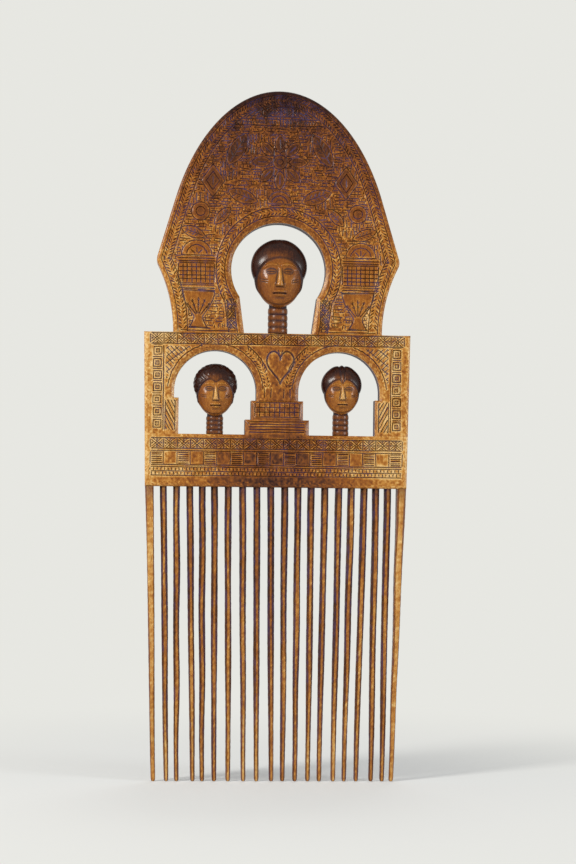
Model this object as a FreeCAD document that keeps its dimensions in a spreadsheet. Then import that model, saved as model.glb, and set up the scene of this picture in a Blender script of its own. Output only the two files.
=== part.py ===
"""Long-toothed hair comb, an afro pick carved from one wooden plank.

Millimetres, +Z up along the comb, front towards -Y. The origin is the centre of the tooth bar's
back face. The plank is divided where its carved members meet: tooth bar, arcade panel with two
arched windows, stepped pedestal, domed crest with a keyhole window, three heads on ringed necks,
and the teeth. Members meet face to face.
"""
import FreeCAD, Part
import Sketcher
import math
import os

Vector = FreeCAD.Vector

# Driving dimensions: alias, millimetres, what it measures.
DIMENSIONS = [
    ("plank_thickness", 10.0, "back face to front face"),
    ("panel_top_width", 133.5, "arcade panel, top edge"),
    ("bar_foot_width", 130.8, "tooth bar, lower edge"),
    ("bar_height", 26.2, "tooth bar, teeth to window sills"),
    ("arcade_height", 50.8, "arcade panel, sills to crest"),
    ("arch_radius", 20.5, "side windows"),
    ("arch_spring", 21.5, "arch centre above the sill"),
    ("arch_spacing", 62.0, "between the two arch centres"),
    ("plinth_height", 18.0, "hatched plinth at the foot of each stile"),
    ("plinth_step", 2.3, "plinth into the window"),
    ("pedestal_height", 17.0, "both tiers"),
    ("pedestal_lower_height", 7.5, "lower tier"),
    ("pedestal_lower_width", 32.0, "lower tier"),
    ("pedestal_upper_width", 26.0, "upper tier"),
    ("crest_height", 122.0, "crest foot to apex"),
    ("shoulder_width", 122.6, "widest point of the crest"),
    ("shoulder_overhang", 9.0, "each shoulder beyond the crest foot"),
    ("shoulder_height", 36.0, "widest point above the crest foot"),
    ("dome_inset", 3.0, "dome ellipse inside the shoulder"),
    ("dome_rise", 100.0, "upright semi-axis of the dome ellipse"),
    ("keyhole_radius", 23.8, "round part of the centre window"),
    ("keyhole_centre", 31.8, "its centre above the crest foot"),
    ("keyhole_notch_width", 39.0, "where the jambs meet the round part"),
    ("keyhole_foot_width", 34.0, "between the jambs at the crest foot"),
    ("window_chamfer", 1.0, "front edges of the windows"),
    ("rim_round", 1.2, "front edges of the outline"),
    ("carving_depth", 0.45, "carved grounds below the front face"),
    ("crest_border", 7.5, "lined border along the crest's outline"),
    ("keyhole_border", 8.1, "lined border round the keyhole"),
    ("field_foot", 1.6, "carved field above the crest foot"),
    ("bar_carving_width", 126.0, "carved rows on the tooth bar"),
    ("bar_line", 0.6, "cut lines between those rows"),
    ("tooth_length", 146.0, "tooth bar to tip"),
    ("tooth_root_width", 3.6, "across the comb"),
    ("tooth_root_depth", 5.8, "through the comb"),
    ("tooth_tip", 2.4, "thickness of the blunt tip"),
    ("tooth_chamfer", 0.75, "long edges of the inner teeth"),
    ("guard_root_width", 4.5, "outermost teeth, at the bar"),
    ("guard_chamfer", 0.7, "long edges of the outermost teeth"),
    ("tip_span", 118.6, "between the centres of the outermost tips"),
    ("head_back_gap", 0.4, "back of the heads inside the back face"),
    ("centre_head_width", 28.4, "over the hair"),
    ("centre_head_height", 34.4, "chin to crown"),
    ("centre_head_depth", 18.0, "back of the hair to face"),
    ("centre_neck_width", 10.0, "over the rings"),
    ("centre_neck_length", 12.8, "crest foot to chin"),
    ("left_head_place", 31.0, "from the comb's middle"),
    ("left_head_width", 22.2, "over the hair"),
    ("left_head_height", 26.4, "chin to crown"),
    ("left_head_depth", 15.0, "back of the hair to face"),
    ("left_neck_width", 8.6, "over the rings"),
    ("left_neck_length", 9.0, "sill to chin"),
    ("right_head_place", 32.2, "from the comb's middle"),
    ("right_head_width", 21.2, "over the hair"),
    ("right_head_height", 24.8, "chin to crown"),
    ("right_head_depth", 15.0, "back of the hair to face"),
    ("right_neck_width", 8.2, "over the rings"),
    ("right_neck_length", 10.6, "sill to chin"),
]

# How far the knife wandered from even spacing, for each inner tooth from left to right.
ROOT_WANDER = [0.3, 0.3, 0.2, -0.2, -0.8, -0.5, 0.0, 0.5, 0.8, 1.2, 1.2, 1.2, 1.4, 1.8, 1.5, 1.3, 0.5, -0.2]
TIP_WANDER = [0.2, -1.0, 0.8, -0.8, -1.0, -0.4, 1.0, 1.3, 2.4, 1.8, 1.7, 1.9, 1.4, 2.1, 1.3, 1.1, 2.3, 1.6]
INNER_TEETH = len(ROOT_WANDER)

# Shares of a tooth's length at its sections, and how far its taper has gone there.
TOOTH_STATIONS = [(0.0, 0.0), (0.6, 0.3), (1.0, 1.0)]
GUARD_STATIONS = [(0.0, 0.0), (0.2, 0.35), (1.0, 1.0)]

NECK_RINGS = 3
NECK_CORE = 0.84  # core between two rings, of the ring's radius
RING_BEVEL = 0.25  # sloping part of a ring at each end, of the rings' spacing
NECK_INSERT = 0.3  # how far the neck runs up into the head, of the head's height

# The head's masses: place (x, y, z) and radii (x, y, z) as shares of its width, depth and height,
# from the middle of the chin's level. The hair is scooped out in front, and the face fills the scoop.
HAIR = ((0, 0, 0.6), (0.5, 0.5, 0.4))
SCOOP = ((0, -0.5, 0.45), (0.41, 0.52, 0.41))
FACE = ((0, -0.05, 0.46), (0.415, 0.45, 0.46))

# Nose and lips are wedges: half widths at the root and at the ridge, depths of ridge and root, and
# heights of foot, ridge top and root top, as the same shares. The eyes are round bosses.
WEDGES = {
    "nose": (0.1, 0.05, -0.58, -0.38, 0.29, 0.34, 0.56),
    "lips": (0.14, 0.1, -0.46, -0.36, 0.16, 0.21, 0.22),
}
EYES = {"left_eye": -0.17, "right_eye": 0.17}
EYE_LEVEL = 0.5
EYE_FRONT = -0.475
EYE_RADIUS = 0.075
EYE_LENGTH = 0.2

# The tooth bar's rows, as shares of half its height: the sunk blocks, and the cut lines beside them.
BLOCK_ROW = (-0.18, 0.35)
BAR_LINES = [0.83, 0.44, -0.26, -0.58]
BLOCKS = 19

TOLERANCE = 1e-4

doc = FreeCAD.newDocument("hair_comb")
sheet = doc.addObject("Spreadsheet::Sheet", "dims")
for row, (alias, value, words) in enumerate(DIMENSIONS, start=1):
    sheet.set(f"A{row}", alias)
    sheet.set(f"B{row}", str(value))
    sheet.set(f"C{row}", words)
    sheet.setAlias(f"B{row}", alias)
doc.recompute()

# Heights and half widths that several members share, written as formulas on the sheet.
SILL = "(dims.bar_height / 2)"
CREST_FOOT = "(dims.bar_height / 2 + dims.arcade_height)"
BAR_FOOT = "(-dims.bar_height / 2)"
MID_PLANK = "(-dims.plank_thickness / 2)"
SILL_WIDTH = (
    "(dims.bar_foot_width + (dims.panel_top_width - dims.bar_foot_width)"
    " * dims.bar_height / (dims.bar_height + dims.arcade_height))"
)
COLUMN_HALF = "(dims.arch_spacing / 2 - dims.arch_radius)"
STILE_INNER = "(dims.arch_spacing / 2 + dims.arch_radius)"
CREST_FOOT_HALF = "(dims.shoulder_width / 2 - dims.shoulder_overhang)"
HALF_CREST = "(dims.shoulder_width / 2)"
KEYHOLE_TOP = "(dims.keyhole_centre + dims.keyhole_radius)"
FRONT_GROUND = "(dims.plank_thickness - dims.carving_depth)"
GUARD_ROOT_X = "((dims.bar_foot_width - dims.guard_root_width) / 2)"
ROOT_PITCH = f"(2 * {GUARD_ROOT_X} / {INNER_TEETH + 1})"
TIP_PITCH = f"(dims.tip_span / {INNER_TEETH + 1})"


def size(formula):
    """The value of a formula on the sheet, in millimetres."""
    return float(sheet.evalExpression(formula))


def new_body(label):
    body = doc.addObject("PartDesign::Body", label)
    body.Label = label
    return body


def place(item, x="0", y="0", z="0"):
    """Puts an object where formulas on the sheet say."""
    for axis, formula in zip("xyz", (x, y, z)):
        item.setExpression(f"Placement.Base.{axis}", formula)


def new_sketch(body, role, name, height=None):
    """A sketch on one of the body's own origin planes, raised by a formula."""
    sketch = body.newObject("Sketcher::SketchObject", name)
    plane = next(item for item in body.Origin.OriginFeatures if item.Role == role)
    sketch.AttachmentSupport = [(plane, "")]
    sketch.MapMode = "FlatFace"
    if height is not None:
        sketch.setExpression("AttachmentOffset.Base.z", height)
    return sketch


def chain(sketch, points):
    """A closed chain of straight lines through points, joined end to end."""
    first = sketch.GeometryCount
    for start, end in zip(points, points[1:] + points[:1]):
        sketch.addGeometry(Part.LineSegment(Vector(*start, 0), Vector(*end, 0)))
    count = len(points)
    for n in range(count):
        sketch.addConstraint(Sketcher.Constraint("Coincident", first + n, 2, first + (n + 1) % count, 1))
    return first


def bind(sketch, kind, references, formula):
    """A dimension of the sketch that follows a formula on the sheet."""
    index = sketch.addConstraint(Sketcher.Constraint(kind, *references, size(formula)))
    sketch.setExpression(f"Constraints[{index}]", formula)


def fix_point(sketch, geometry, end, x=None, y=None):
    """Holds a point at distances from the sketch origin; zero puts it on the axis."""
    for kind, axis, formula in (("DistanceX", -2, x), ("DistanceY", -1, y)):
        if formula == "0":
            sketch.addConstraint(Sketcher.Constraint("PointOnObject", geometry, end, axis))
        elif formula is not None:
            bind(sketch, kind, (-1, 1, geometry, end), formula)


def polygon(sketch, corners):
    """A closed chain of straight lines whose corners follow formulas on the sheet."""
    line = chain(sketch, [(size(x), size(z)) for x, z in corners])
    for n, (x, z) in enumerate(corners):
        fix_point(sketch, line + n, 1, x, z)


def disc(sketch, x, z, radius):
    circle = sketch.addGeometry(Part.Circle(Vector(size(x), size(z), 0), Vector(0, 0, 1), size(radius)))
    fix_point(sketch, circle, 3, x, z)
    bind(sketch, "Radius", (circle,), radius)


def half_disc(sketch, x, z, radius):
    """The upper half of a disc, on a level foot."""
    circle = Part.Circle(Vector(size(x), size(z), 0), Vector(0, 0, 1), size(radius))
    bow = sketch.addGeometry(Part.ArcOfCircle(circle, 0, math.pi))
    ends = [Vector(size(x) + side * size(radius), size(z), 0) for side in (-1, 1)]
    foot = sketch.addGeometry(Part.LineSegment(*ends))
    sketch.addConstraint(Sketcher.Constraint("Coincident", bow, 2, foot, 1))
    sketch.addConstraint(Sketcher.Constraint("Coincident", foot, 2, bow, 1))
    sketch.addConstraint(Sketcher.Constraint("Horizontal", foot))
    sketch.addConstraint(Sketcher.Constraint("PointOnObject", bow, 3, foot))
    fix_point(sketch, bow, 3, x, z)
    bind(sketch, "Radius", (bow,), radius)


def leaf(sketch, x, z, length, width, lean):
    """An almond of two arcs through its tips, leaning by an angle in degrees from level."""
    turn = math.radians(lean)
    reach = (round(math.cos(turn), 4), round(math.sin(turn), 4))
    tips = [(f"{x} + {side * reach[0] / 2} * {length}", f"{z} + {side * reach[1] / 2} * {length}")
            for side in (1, -1)]
    radius = f"(({length} * {length} + {width} * {width}) / (4 * {width}))"
    spread = math.asin(size(length) / (2 * size(radius)))
    off = size(radius) - size(width) / 2
    sides = []
    for facing in (turn + math.pi / 2, turn - math.pi / 2):
        centre = Vector(size(x) - off * math.cos(facing), size(z) - off * math.sin(facing), 0)
        circle = Part.Circle(centre, Vector(0, 0, 1), size(radius))
        sides.append(sketch.addGeometry(Part.ArcOfCircle(circle, facing - spread, facing + spread)))
        bind(sketch, "Radius", (sides[-1],), radius)
    sketch.addConstraint(Sketcher.Constraint("Coincident", sides[0], 2, sides[1], 1))
    sketch.addConstraint(Sketcher.Constraint("Coincident", sides[1], 2, sides[0], 1))
    fix_point(sketch, sides[0], 1, *tips[0])
    fix_point(sketch, sides[0], 2, *tips[1])


def pad(body, sketch, name, length="dims.plank_thickness", kind="Pad"):
    """Raises a sketch out of its plane, or with the kind Pocket cuts it in behind its plane."""
    feature = body.newObject(f"PartDesign::{kind}", name)
    feature.Profile = sketch
    feature.setExpression("Length", length)
    body.Tip = feature
    doc.recompute()
    return feature


def mirror(body, feature, name):
    """The other half of a member, across the comb's middle plane."""
    mirrored = body.newObject("PartDesign::Mirrored", name)
    mirrored.Originals = [feature]
    plane = next(item for item in body.Origin.OriginFeatures if item.Role == "YZ_Plane")
    mirrored.MirrorPlane = (plane, [""])
    body.Tip = mirrored
    doc.recompute()
    return mirrored


def front_edges(feature, wanted):
    """Names of the edges on the front face whose middle passes the test wanted(x, z)."""
    front = feature.Shape.BoundBox.YMin
    names = []
    for number, edge in enumerate(feature.Shape.Edges, start=1):
        middle = edge.valueAt((edge.FirstParameter + edge.LastParameter) / 2)
        on_front = abs(edge.BoundBox.YMin - front) < TOLERANCE and abs(edge.BoundBox.YMax - front) < TOLERANCE
        if on_front and wanted(middle.x, middle.z):
            names.append(f"Edge{number}")
    return names


def ease(body, kind, feature, edges, measure, alias, name):
    """Chamfers or rounds edges of the last feature."""
    eased = body.newObject(f"PartDesign::{kind}", name)
    eased.Base = (feature, edges)
    eased.setExpression(measure, f"dims.{alias}")
    body.Tip = eased
    doc.recompute()
    return eased


# Tooth bar: the solid band that carries the teeth and makes the window sills.
def make_tooth_bar():
    body = new_body("tooth_bar")
    sketch = new_sketch(body, "XZ_Plane", "bar_outline")
    foot, sill = size("dims.bar_foot_width") / 2, size(SILL_WIDTH) / 2
    rise = size(SILL)
    line = chain(sketch, [(-foot, -rise), (foot, -rise), (sill, rise), (-sill, rise)])
    sketch.addConstraint(Sketcher.Constraint("Symmetric", line, 1, line, 2, -2))
    sketch.addConstraint(Sketcher.Constraint("Symmetric", line + 2, 2, line + 2, 1, -2))
    bind(sketch, "DistanceX", (line, 1, line, 2), "dims.bar_foot_width")
    bind(sketch, "DistanceX", (line + 2, 2, line + 2, 1), SILL_WIDTH)
    bind(sketch, "DistanceY", (line, 1, -1, 1), SILL)
    bind(sketch, "DistanceY", (-1, 1, line + 2, 1), SILL)
    block = pad(body, sketch, "bar_block")
    ends = front_edges(block, lambda x, z: abs(z) < rise - TOLERANCE)
    ease(body, "Fillet", block, ends, "Radius", "rim_round", "bar_end_round")

    rows = new_sketch(body, "XZ_Plane", "bar_rows", "dims.plank_thickness")
    left, right = "(-dims.bar_carving_width / 2)", "(dims.bar_carving_width / 2)"
    low, high = (f"{share} * {SILL}" for share in BLOCK_ROW)
    for number in range(0, BLOCKS, 2):
        near, far = (f"{left} + {place} * dims.bar_carving_width / {BLOCKS}" for place in (number, number + 1))
        polygon(rows, [(near, low), (far, low), (far, high), (near, high)])
    for share in BAR_LINES:
        low, high = (f"{share} * {SILL} + {side} * dims.bar_line / 2" for side in (-1, 1))
        polygon(rows, [(left, low), (right, low), (right, high), (left, high)])
    pad(body, rows, "bar_rows_cut", "dims.carving_depth", "Pocket")
    return body


# Arcade panel: two stiles with plinths, two round arches and the column between them.
def make_arcade_panel():
    body = new_body("arcade_panel")
    place(body, z=SILL)
    sketch = new_sketch(body, "XZ_Plane", "arcade_half_outline")
    top, height = size("dims.panel_top_width") / 2, size("dims.arcade_height")
    sill = size(SILL_WIDTH) / 2
    column, stile = size(COLUMN_HALF), size(STILE_INNER)
    spring, plinth = size("dims.arch_spring"), size("dims.plinth_height")
    plinth_in = stile - size("dims.plinth_step")
    pedestal = size("dims.pedestal_height")
    line = sketch.GeometryCount
    points = [
        (column, spring), (column, pedestal), (0, pedestal), (0, height), (top, height),
        (sill, 0), (plinth_in, 0), (plinth_in, plinth), (stile, plinth), (stile, spring),
    ]
    for start, end in zip(points, points[1:]):
        sketch.addGeometry(Part.LineSegment(Vector(*start, 0), Vector(*end, 0)))
    last = line + len(points) - 2
    arch = last + 1
    centre = Vector(size("dims.arch_spacing") / 2, spring, 0)
    circle = Part.Circle(centre, Vector(0, 0, 1), size("dims.arch_radius"))
    sketch.addGeometry(Part.ArcOfCircle(circle, 0, math.pi))
    for n in range(line, last):
        sketch.addConstraint(Sketcher.Constraint("Coincident", n, 2, n + 1, 1))
    sketch.addConstraint(Sketcher.Constraint("Coincident", last, 2, arch, 1))
    sketch.addConstraint(Sketcher.Constraint("Coincident", arch, 2, line, 1))
    for n in (0, 2, 6, 8):
        sketch.addConstraint(Sketcher.Constraint("Vertical", line + n))
    for n in (1, 3, 5, 7):
        sketch.addConstraint(Sketcher.Constraint("Horizontal", line + n))
    fix_point(sketch, line + 2, 1, "0", "dims.pedestal_height")
    fix_point(sketch, line + 3, 2, "dims.panel_top_width / 2", "dims.arcade_height")
    fix_point(sketch, line + 5, 1, f"{SILL_WIDTH} / 2", "0")
    fix_point(sketch, line + 7, 1, f"{STILE_INNER} - dims.plinth_step", "dims.plinth_height")
    fix_point(sketch, arch, 3, "dims.arch_spacing / 2", "dims.arch_spring")
    fix_point(sketch, arch, 1, None, "dims.arch_spring")
    sketch.addConstraint(Sketcher.Constraint("Horizontal", arch, 1, arch, 2))
    bind(sketch, "Radius", (arch,), "dims.arch_radius")
    half = pad(body, sketch, "arcade_half")
    whole = mirror(body, half, "arcade_whole")
    stile_middle = (stile + min(top, sill)) / 2
    low, high = TOLERANCE, height - TOLERANCE

    def in_window(x, z):
        under_column = abs(x) < column - TOLERANCE and z < pedestal + TOLERANCE
        return abs(x) < stile_middle and low < z < high and not under_column

    window_cut = ease(
        body, "Chamfer", whole, front_edges(whole, in_window), "Size", "window_chamfer", "window_edges")
    sides = front_edges(window_cut, lambda x, z: abs(x) > stile_middle and low < z < high)
    ease(body, "Fillet", window_cut, sides, "Radius", "rim_round", "side_round")
    return body


# Stepped pedestal: two tiers under the column, between the side windows.
def make_stepped_pedestal():
    body = new_body("stepped_pedestal")
    place(body, z=SILL)
    sketch = new_sketch(body, "XZ_Plane", "pedestal_half_outline")
    lower, upper = size("dims.pedestal_lower_width") / 2, size("dims.pedestal_upper_width") / 2
    step, top = size("dims.pedestal_lower_height"), size("dims.pedestal_height")
    line = chain(sketch, [(0, 0), (lower, 0), (lower, step), (upper, step), (upper, top), (0, top)])
    for n in (0, 2, 4):
        sketch.addConstraint(Sketcher.Constraint("Horizontal", line + n))
    for n in (1, 3, 5):
        sketch.addConstraint(Sketcher.Constraint("Vertical", line + n))
    sketch.addConstraint(Sketcher.Constraint("Coincident", line, 1, -1, 1))
    fix_point(sketch, line + 1, 2, "dims.pedestal_lower_width / 2", "dims.pedestal_lower_height")
    fix_point(sketch, line + 3, 2, "dims.pedestal_upper_width / 2", "dims.pedestal_height")
    half = pad(body, sketch, "pedestal_half")
    whole = mirror(body, half, "pedestal_whole")
    sides = front_edges(whole, lambda x, z: TOLERANCE < z < top - TOLERANCE)
    ease(body, "Chamfer", whole, sides, "Size", "window_chamfer", "pedestal_edges")
    return body


# Crest: flared flanks up to two shoulders, straight sides and an elliptical dome, with a keyhole window.
def half_crest(sketch, inset, margin, base_level):
    """Right half of the crest's face, set in from its outline, from the keyhole and from its foot."""
    foot_half = f"({CREST_FOOT_HALF} - {inset})"
    shoulder_half = f"({HALF_CREST} - {inset})"
    across_half = f"({shoulder_half} - dims.dome_inset)"
    dome_rise = f"(dims.dome_rise - {inset})"
    dome_level = "(dims.crest_height - dims.dome_rise)"
    ring_radius = f"(dims.keyhole_radius + {margin})"
    notch_half = f"(dims.keyhole_notch_width / 2 + {margin})"
    jamb_half = f"(dims.keyhole_foot_width / 2 + {margin})"
    level, ring = size(base_level), size("dims.keyhole_centre")
    shoulder = Vector(size(shoulder_half), size("dims.shoulder_height"), 0)
    dome_half, rise = size(across_half), size(dome_rise)
    radius, notch = size(ring_radius), size(notch_half)

    # The tangent from the shoulder to the dome ellipse: u cos t + v sin t = 1 for its parameter t.
    u, v = shoulder.x / dome_half, (shoulder.y - size(dome_level)) / rise
    touch = math.atan2(v, u) + math.acos(1 / math.hypot(u, v))
    centre = Vector(0, size(dome_level), 0)
    touch_point = centre + Vector(dome_half * math.cos(touch), rise * math.sin(touch), 0)

    # The flared flank: an arc that leaves the foot upright and ends at the shoulder.
    foot, jamb = Vector(size(foot_half), level, 0), Vector(size(jamb_half), level, 0)
    lean, climb = shoulder.x - foot.x, shoulder.y - level
    flare = (lean ** 2 + climb ** 2) / (2 * lean)
    turn = math.asin(climb / flare)
    flare_circle = Part.Circle(foot + Vector(flare, 0, 0), Vector(0, 0, 1), flare)

    base = sketch.addGeometry(Part.LineSegment(jamb, foot))
    flank = sketch.addGeometry(Part.ArcOfCircle(flare_circle, math.pi - turn, math.pi))
    side = sketch.addGeometry(Part.LineSegment(shoulder, touch_point))
    ellipse = Part.Ellipse(centre + Vector(0, rise, 0), centre + Vector(-dome_half, 0, 0), centre)
    dome = sketch.addGeometry(Part.ArcOfEllipse(ellipse, touch - math.pi / 2 + 2 * math.pi, 2 * math.pi))
    middle = sketch.addGeometry(Part.LineSegment(centre + Vector(0, rise, 0), Vector(0, ring + radius, 0)))
    notch_turn = math.asin(-math.sqrt(radius ** 2 - notch ** 2) / radius)
    keyhole = sketch.addGeometry(Part.ArcOfCircle(
        Part.Circle(Vector(0, ring, 0), Vector(0, 0, 1), radius), notch_turn, math.pi / 2))
    jamb_side = sketch.addGeometry(Part.LineSegment(
        Vector(notch, ring + radius * math.sin(notch_turn), 0), jamb))
    axes = sketch.GeometryCount
    sketch.exposeInternalGeometry(dome)
    upright, across_axis = axes, axes + 1

    joints = [
        (base, 2, flank, 2), (flank, 1, side, 1), (dome, 2, middle, 1), (middle, 2, keyhole, 2),
        (keyhole, 1, jamb_side, 1), (jamb_side, 2, base, 1),
    ]
    for joint in joints:
        sketch.addConstraint(Sketcher.Constraint("Coincident", *joint))
    sketch.addConstraint(Sketcher.Constraint("Tangent", side, 2, dome, 1))
    sketch.addConstraint(Sketcher.Constraint("Vertical", upright))
    fix_point(sketch, base, 1, jamb_half, base_level)
    fix_point(sketch, base, 2, foot_half, base_level)
    fix_point(sketch, flank, 3, None, base_level)
    fix_point(sketch, side, 1, shoulder_half, "dims.shoulder_height")
    fix_point(sketch, dome, 3, "0", dome_level)
    fix_point(sketch, dome, 2, "0", None)
    fix_point(sketch, keyhole, 3, "0", "dims.keyhole_centre")
    fix_point(sketch, keyhole, 2, "0", None)
    fix_point(sketch, keyhole, 1, notch_half, None)
    bind(sketch, "Distance", (upright,), f"2 * {dome_rise}")
    bind(sketch, "Distance", (across_axis,), f"2 * {across_half}")
    bind(sketch, "Radius", (keyhole,), ring_radius)


def make_crest_board():
    body = new_body("crest_board")
    place(body, z=CREST_FOOT)
    sketch = new_sketch(body, "XZ_Plane", "crest_half_outline")
    half_crest(sketch, "0", "0", "0")
    half = pad(body, sketch, "crest_half")
    whole = mirror(body, half, "crest_whole")
    ring = size("dims.keyhole_centre")
    between = (size("dims.keyhole_radius") + size(CREST_FOOT_HALF)) / 2
    window = front_edges(whole, lambda x, z: z > TOLERANCE and math.hypot(x, z - ring) < between)
    window_cut = ease(body, "Chamfer", whole, window, "Size", "window_chamfer", "keyhole_edges")
    outline = front_edges(window_cut, lambda x, z: z > TOLERANCE and math.hypot(x, z - ring) > between)
    ease(body, "Fillet", window_cut, outline, "Radius", "rim_round", "crest_rim_round")

    # The field between the two borders is cut back, and its motifs are left standing.
    field = new_sketch(body, "XZ_Plane", "crest_field", "dims.plank_thickness")
    half_crest(field, "dims.crest_border", "dims.keyhole_border", "dims.field_foot")
    ground = pad(body, field, "crest_field_half", "dims.carving_depth", "Pocket")
    mirror(body, ground, "crest_field_whole")
    motifs = new_sketch(body, "XZ_Plane", "crest_side_motifs", FRONT_GROUND)
    draw_side_motifs(motifs)
    standing = pad(body, motifs, "crest_motifs_half", "dims.carving_depth")
    mirror(body, standing, "crest_motifs_whole")
    motifs = new_sketch(body, "XZ_Plane", "crest_middle_motifs", FRONT_GROUND)
    draw_middle_motifs(motifs)
    pad(body, motifs, "crest_middle_motifs_standing", "dims.carving_depth")
    return body


# Motifs of the crest. Shares across and sizes are of half the shoulder width, heights above the keyhole are
# shares of the rise from its top to the apex, and those beside it are shares of the shoulder height.
def across(share):
    return f"({share} * {HALF_CREST})"


def above(share):
    return f"({KEYHOLE_TOP} + {share} * (dims.crest_height - {KEYHOLE_TOP}))"


def beside(share):
    return f"({share} * dims.shoulder_height)"


def draw_side_motifs(sketch):
    """Leaves, a lozenge, a disc, a shell on a block, and a goblet, on the right of the keyhole."""
    leaves = [
        (0.351, above(0.55), 0.31, 0.13, 120), (0.302, above(0.196), 0.261, 0.114, 20),
        (0.465, above(0.045), 0.196, 0.082, 133), (0.701, beside(1.392), 0.212, 0.088, 20),
    ]
    for x, z, length, width, lean in leaves:
        leaf(sketch, across(x), z, across(length), across(width), lean)
    lozenge = [(0.644, 0.309), (0.546, 0.437), (0.448, 0.309), (0.546, 0.181)]
    polygon(sketch, [(across(x), above(z)) for x, z in lozenge])
    disc(sketch, across(0.644), above(0.075), across(0.075))
    half_disc(sketch, across(0.672), beside(1.07), across(0.124))
    block = [(0.516, 0.614), (0.828, 0.614), (0.828, 1.053), (0.516, 1.053)]
    polygon(sketch, [(across(x), beside(z)) for x, z in block])
    stem, foot, top = 0.653, 0.06, 0.58
    profile = [(0.075, 0.0), (0.036, 0.32), (0.067, 0.46), (0.11, 0.7), (0.132, 1.0)]
    right = [(stem + half, foot + (top - foot) * rise) for half, rise in profile]
    left = [(stem - half, foot + (top - foot) * rise) for half, rise in reversed(profile)]
    polygon(sketch, [(across(x), beside(z)) for x, z in right + left])


def draw_middle_motifs(sketch):
    """A rosette over a half disc, on the crest's middle line."""
    heart, petals, spread = above(0.459), 8, 0.15
    disc(sketch, "0", heart, across(0.059))
    for number in range(petals):
        lean = 360 / petals * number
        turn = math.radians(lean)
        x, rise = round(spread * math.cos(turn), 4), round(spread * math.sin(turn), 4)
        leaf(sketch, across(x), f"({heart} + {across(rise)})", across(0.16), across(0.085), lean)
    half_disc(sketch, "0", above(0.142), across(0.101))


# Teeth: whittled shafts, flat in front with bevelled sides, each leaning a little its own way.
def make_tooth(label, root, tip, root_width, root_depth, chamfer, stations):
    body = new_body(label)
    place(body, x=root, y=MID_PLANK, z=BAR_FOOT)
    sections = []
    for station, (share, taper) in enumerate(stations):
        sketch = new_sketch(body, "XY_Plane", f"{label}_section_{station}", f"-dims.tooth_length * {share}")
        width = f"({root_width} + (dims.tooth_tip - {root_width}) * {taper})"
        depth = f"({root_depth} + (dims.tooth_tip - {root_depth}) * {taper})"
        lean = f"(({tip} - {root}) * {share})"
        left, right = size(f"{lean} - {width} / 2"), size(f"{lean} + {width} / 2")
        back = size(f"{depth} / 2")
        line = chain(sketch, [(left, -back), (right, -back), (right, back), (left, back)])
        for n, kind in enumerate(("Horizontal", "Vertical", "Horizontal", "Vertical")):
            sketch.addConstraint(Sketcher.Constraint(kind, line + n))
        bind(sketch, "DistanceX", (line, 1, line, 2), width)
        bind(sketch, "DistanceY", (line + 1, 1, line + 1, 2), depth)
        bind(sketch, "DistanceY", (line, 1, -1, 1), f"{depth} / 2")
        bind(sketch, "DistanceX", (-1, 1, line, 2), f"{lean} + {width} / 2")
        sections.append(sketch)
    doc.recompute()
    shaft = body.newObject("PartDesign::AdditiveLoft", f"{label}_shaft")
    shaft.Profile = sections[0]
    shaft.Sections = sections[1:]
    shaft.Ruled = True
    body.Tip = shaft
    doc.recompute()
    long_edges = [
        f"Edge{number}" for number, edge in enumerate(shaft.Shape.Edges, start=1)
        if edge.BoundBox.ZLength > edge.BoundBox.YLength + edge.BoundBox.XLength
    ]
    ease(body, "Chamfer", shaft, long_edges, "Size", chamfer, f"{label}_edges")
    return body


def make_inner_tooth(number):
    from_middle = number - (INNER_TEETH + 1) / 2
    root = f"({from_middle} * {ROOT_PITCH} + {ROOT_WANDER[number - 1]})"
    tip = f"({from_middle} * {TIP_PITCH} + {TIP_WANDER[number - 1]})"
    return make_tooth(
        f"tooth_{number:02d}", root, tip, "dims.tooth_root_width", "dims.tooth_root_depth",
        "tooth_chamfer", TOOTH_STATIONS,
    )


# Guard teeth: the plank's own edges carried down, flush with the bar at the root.
def make_guard_tooth(label, side):
    return make_tooth(
        label, f"({side} * {GUARD_ROOT_X})", f"({side} * dims.tip_span / 2)", "dims.guard_root_width",
        "dims.plank_thickness", "guard_chamfer", GUARD_STATIONS,
    )


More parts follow.
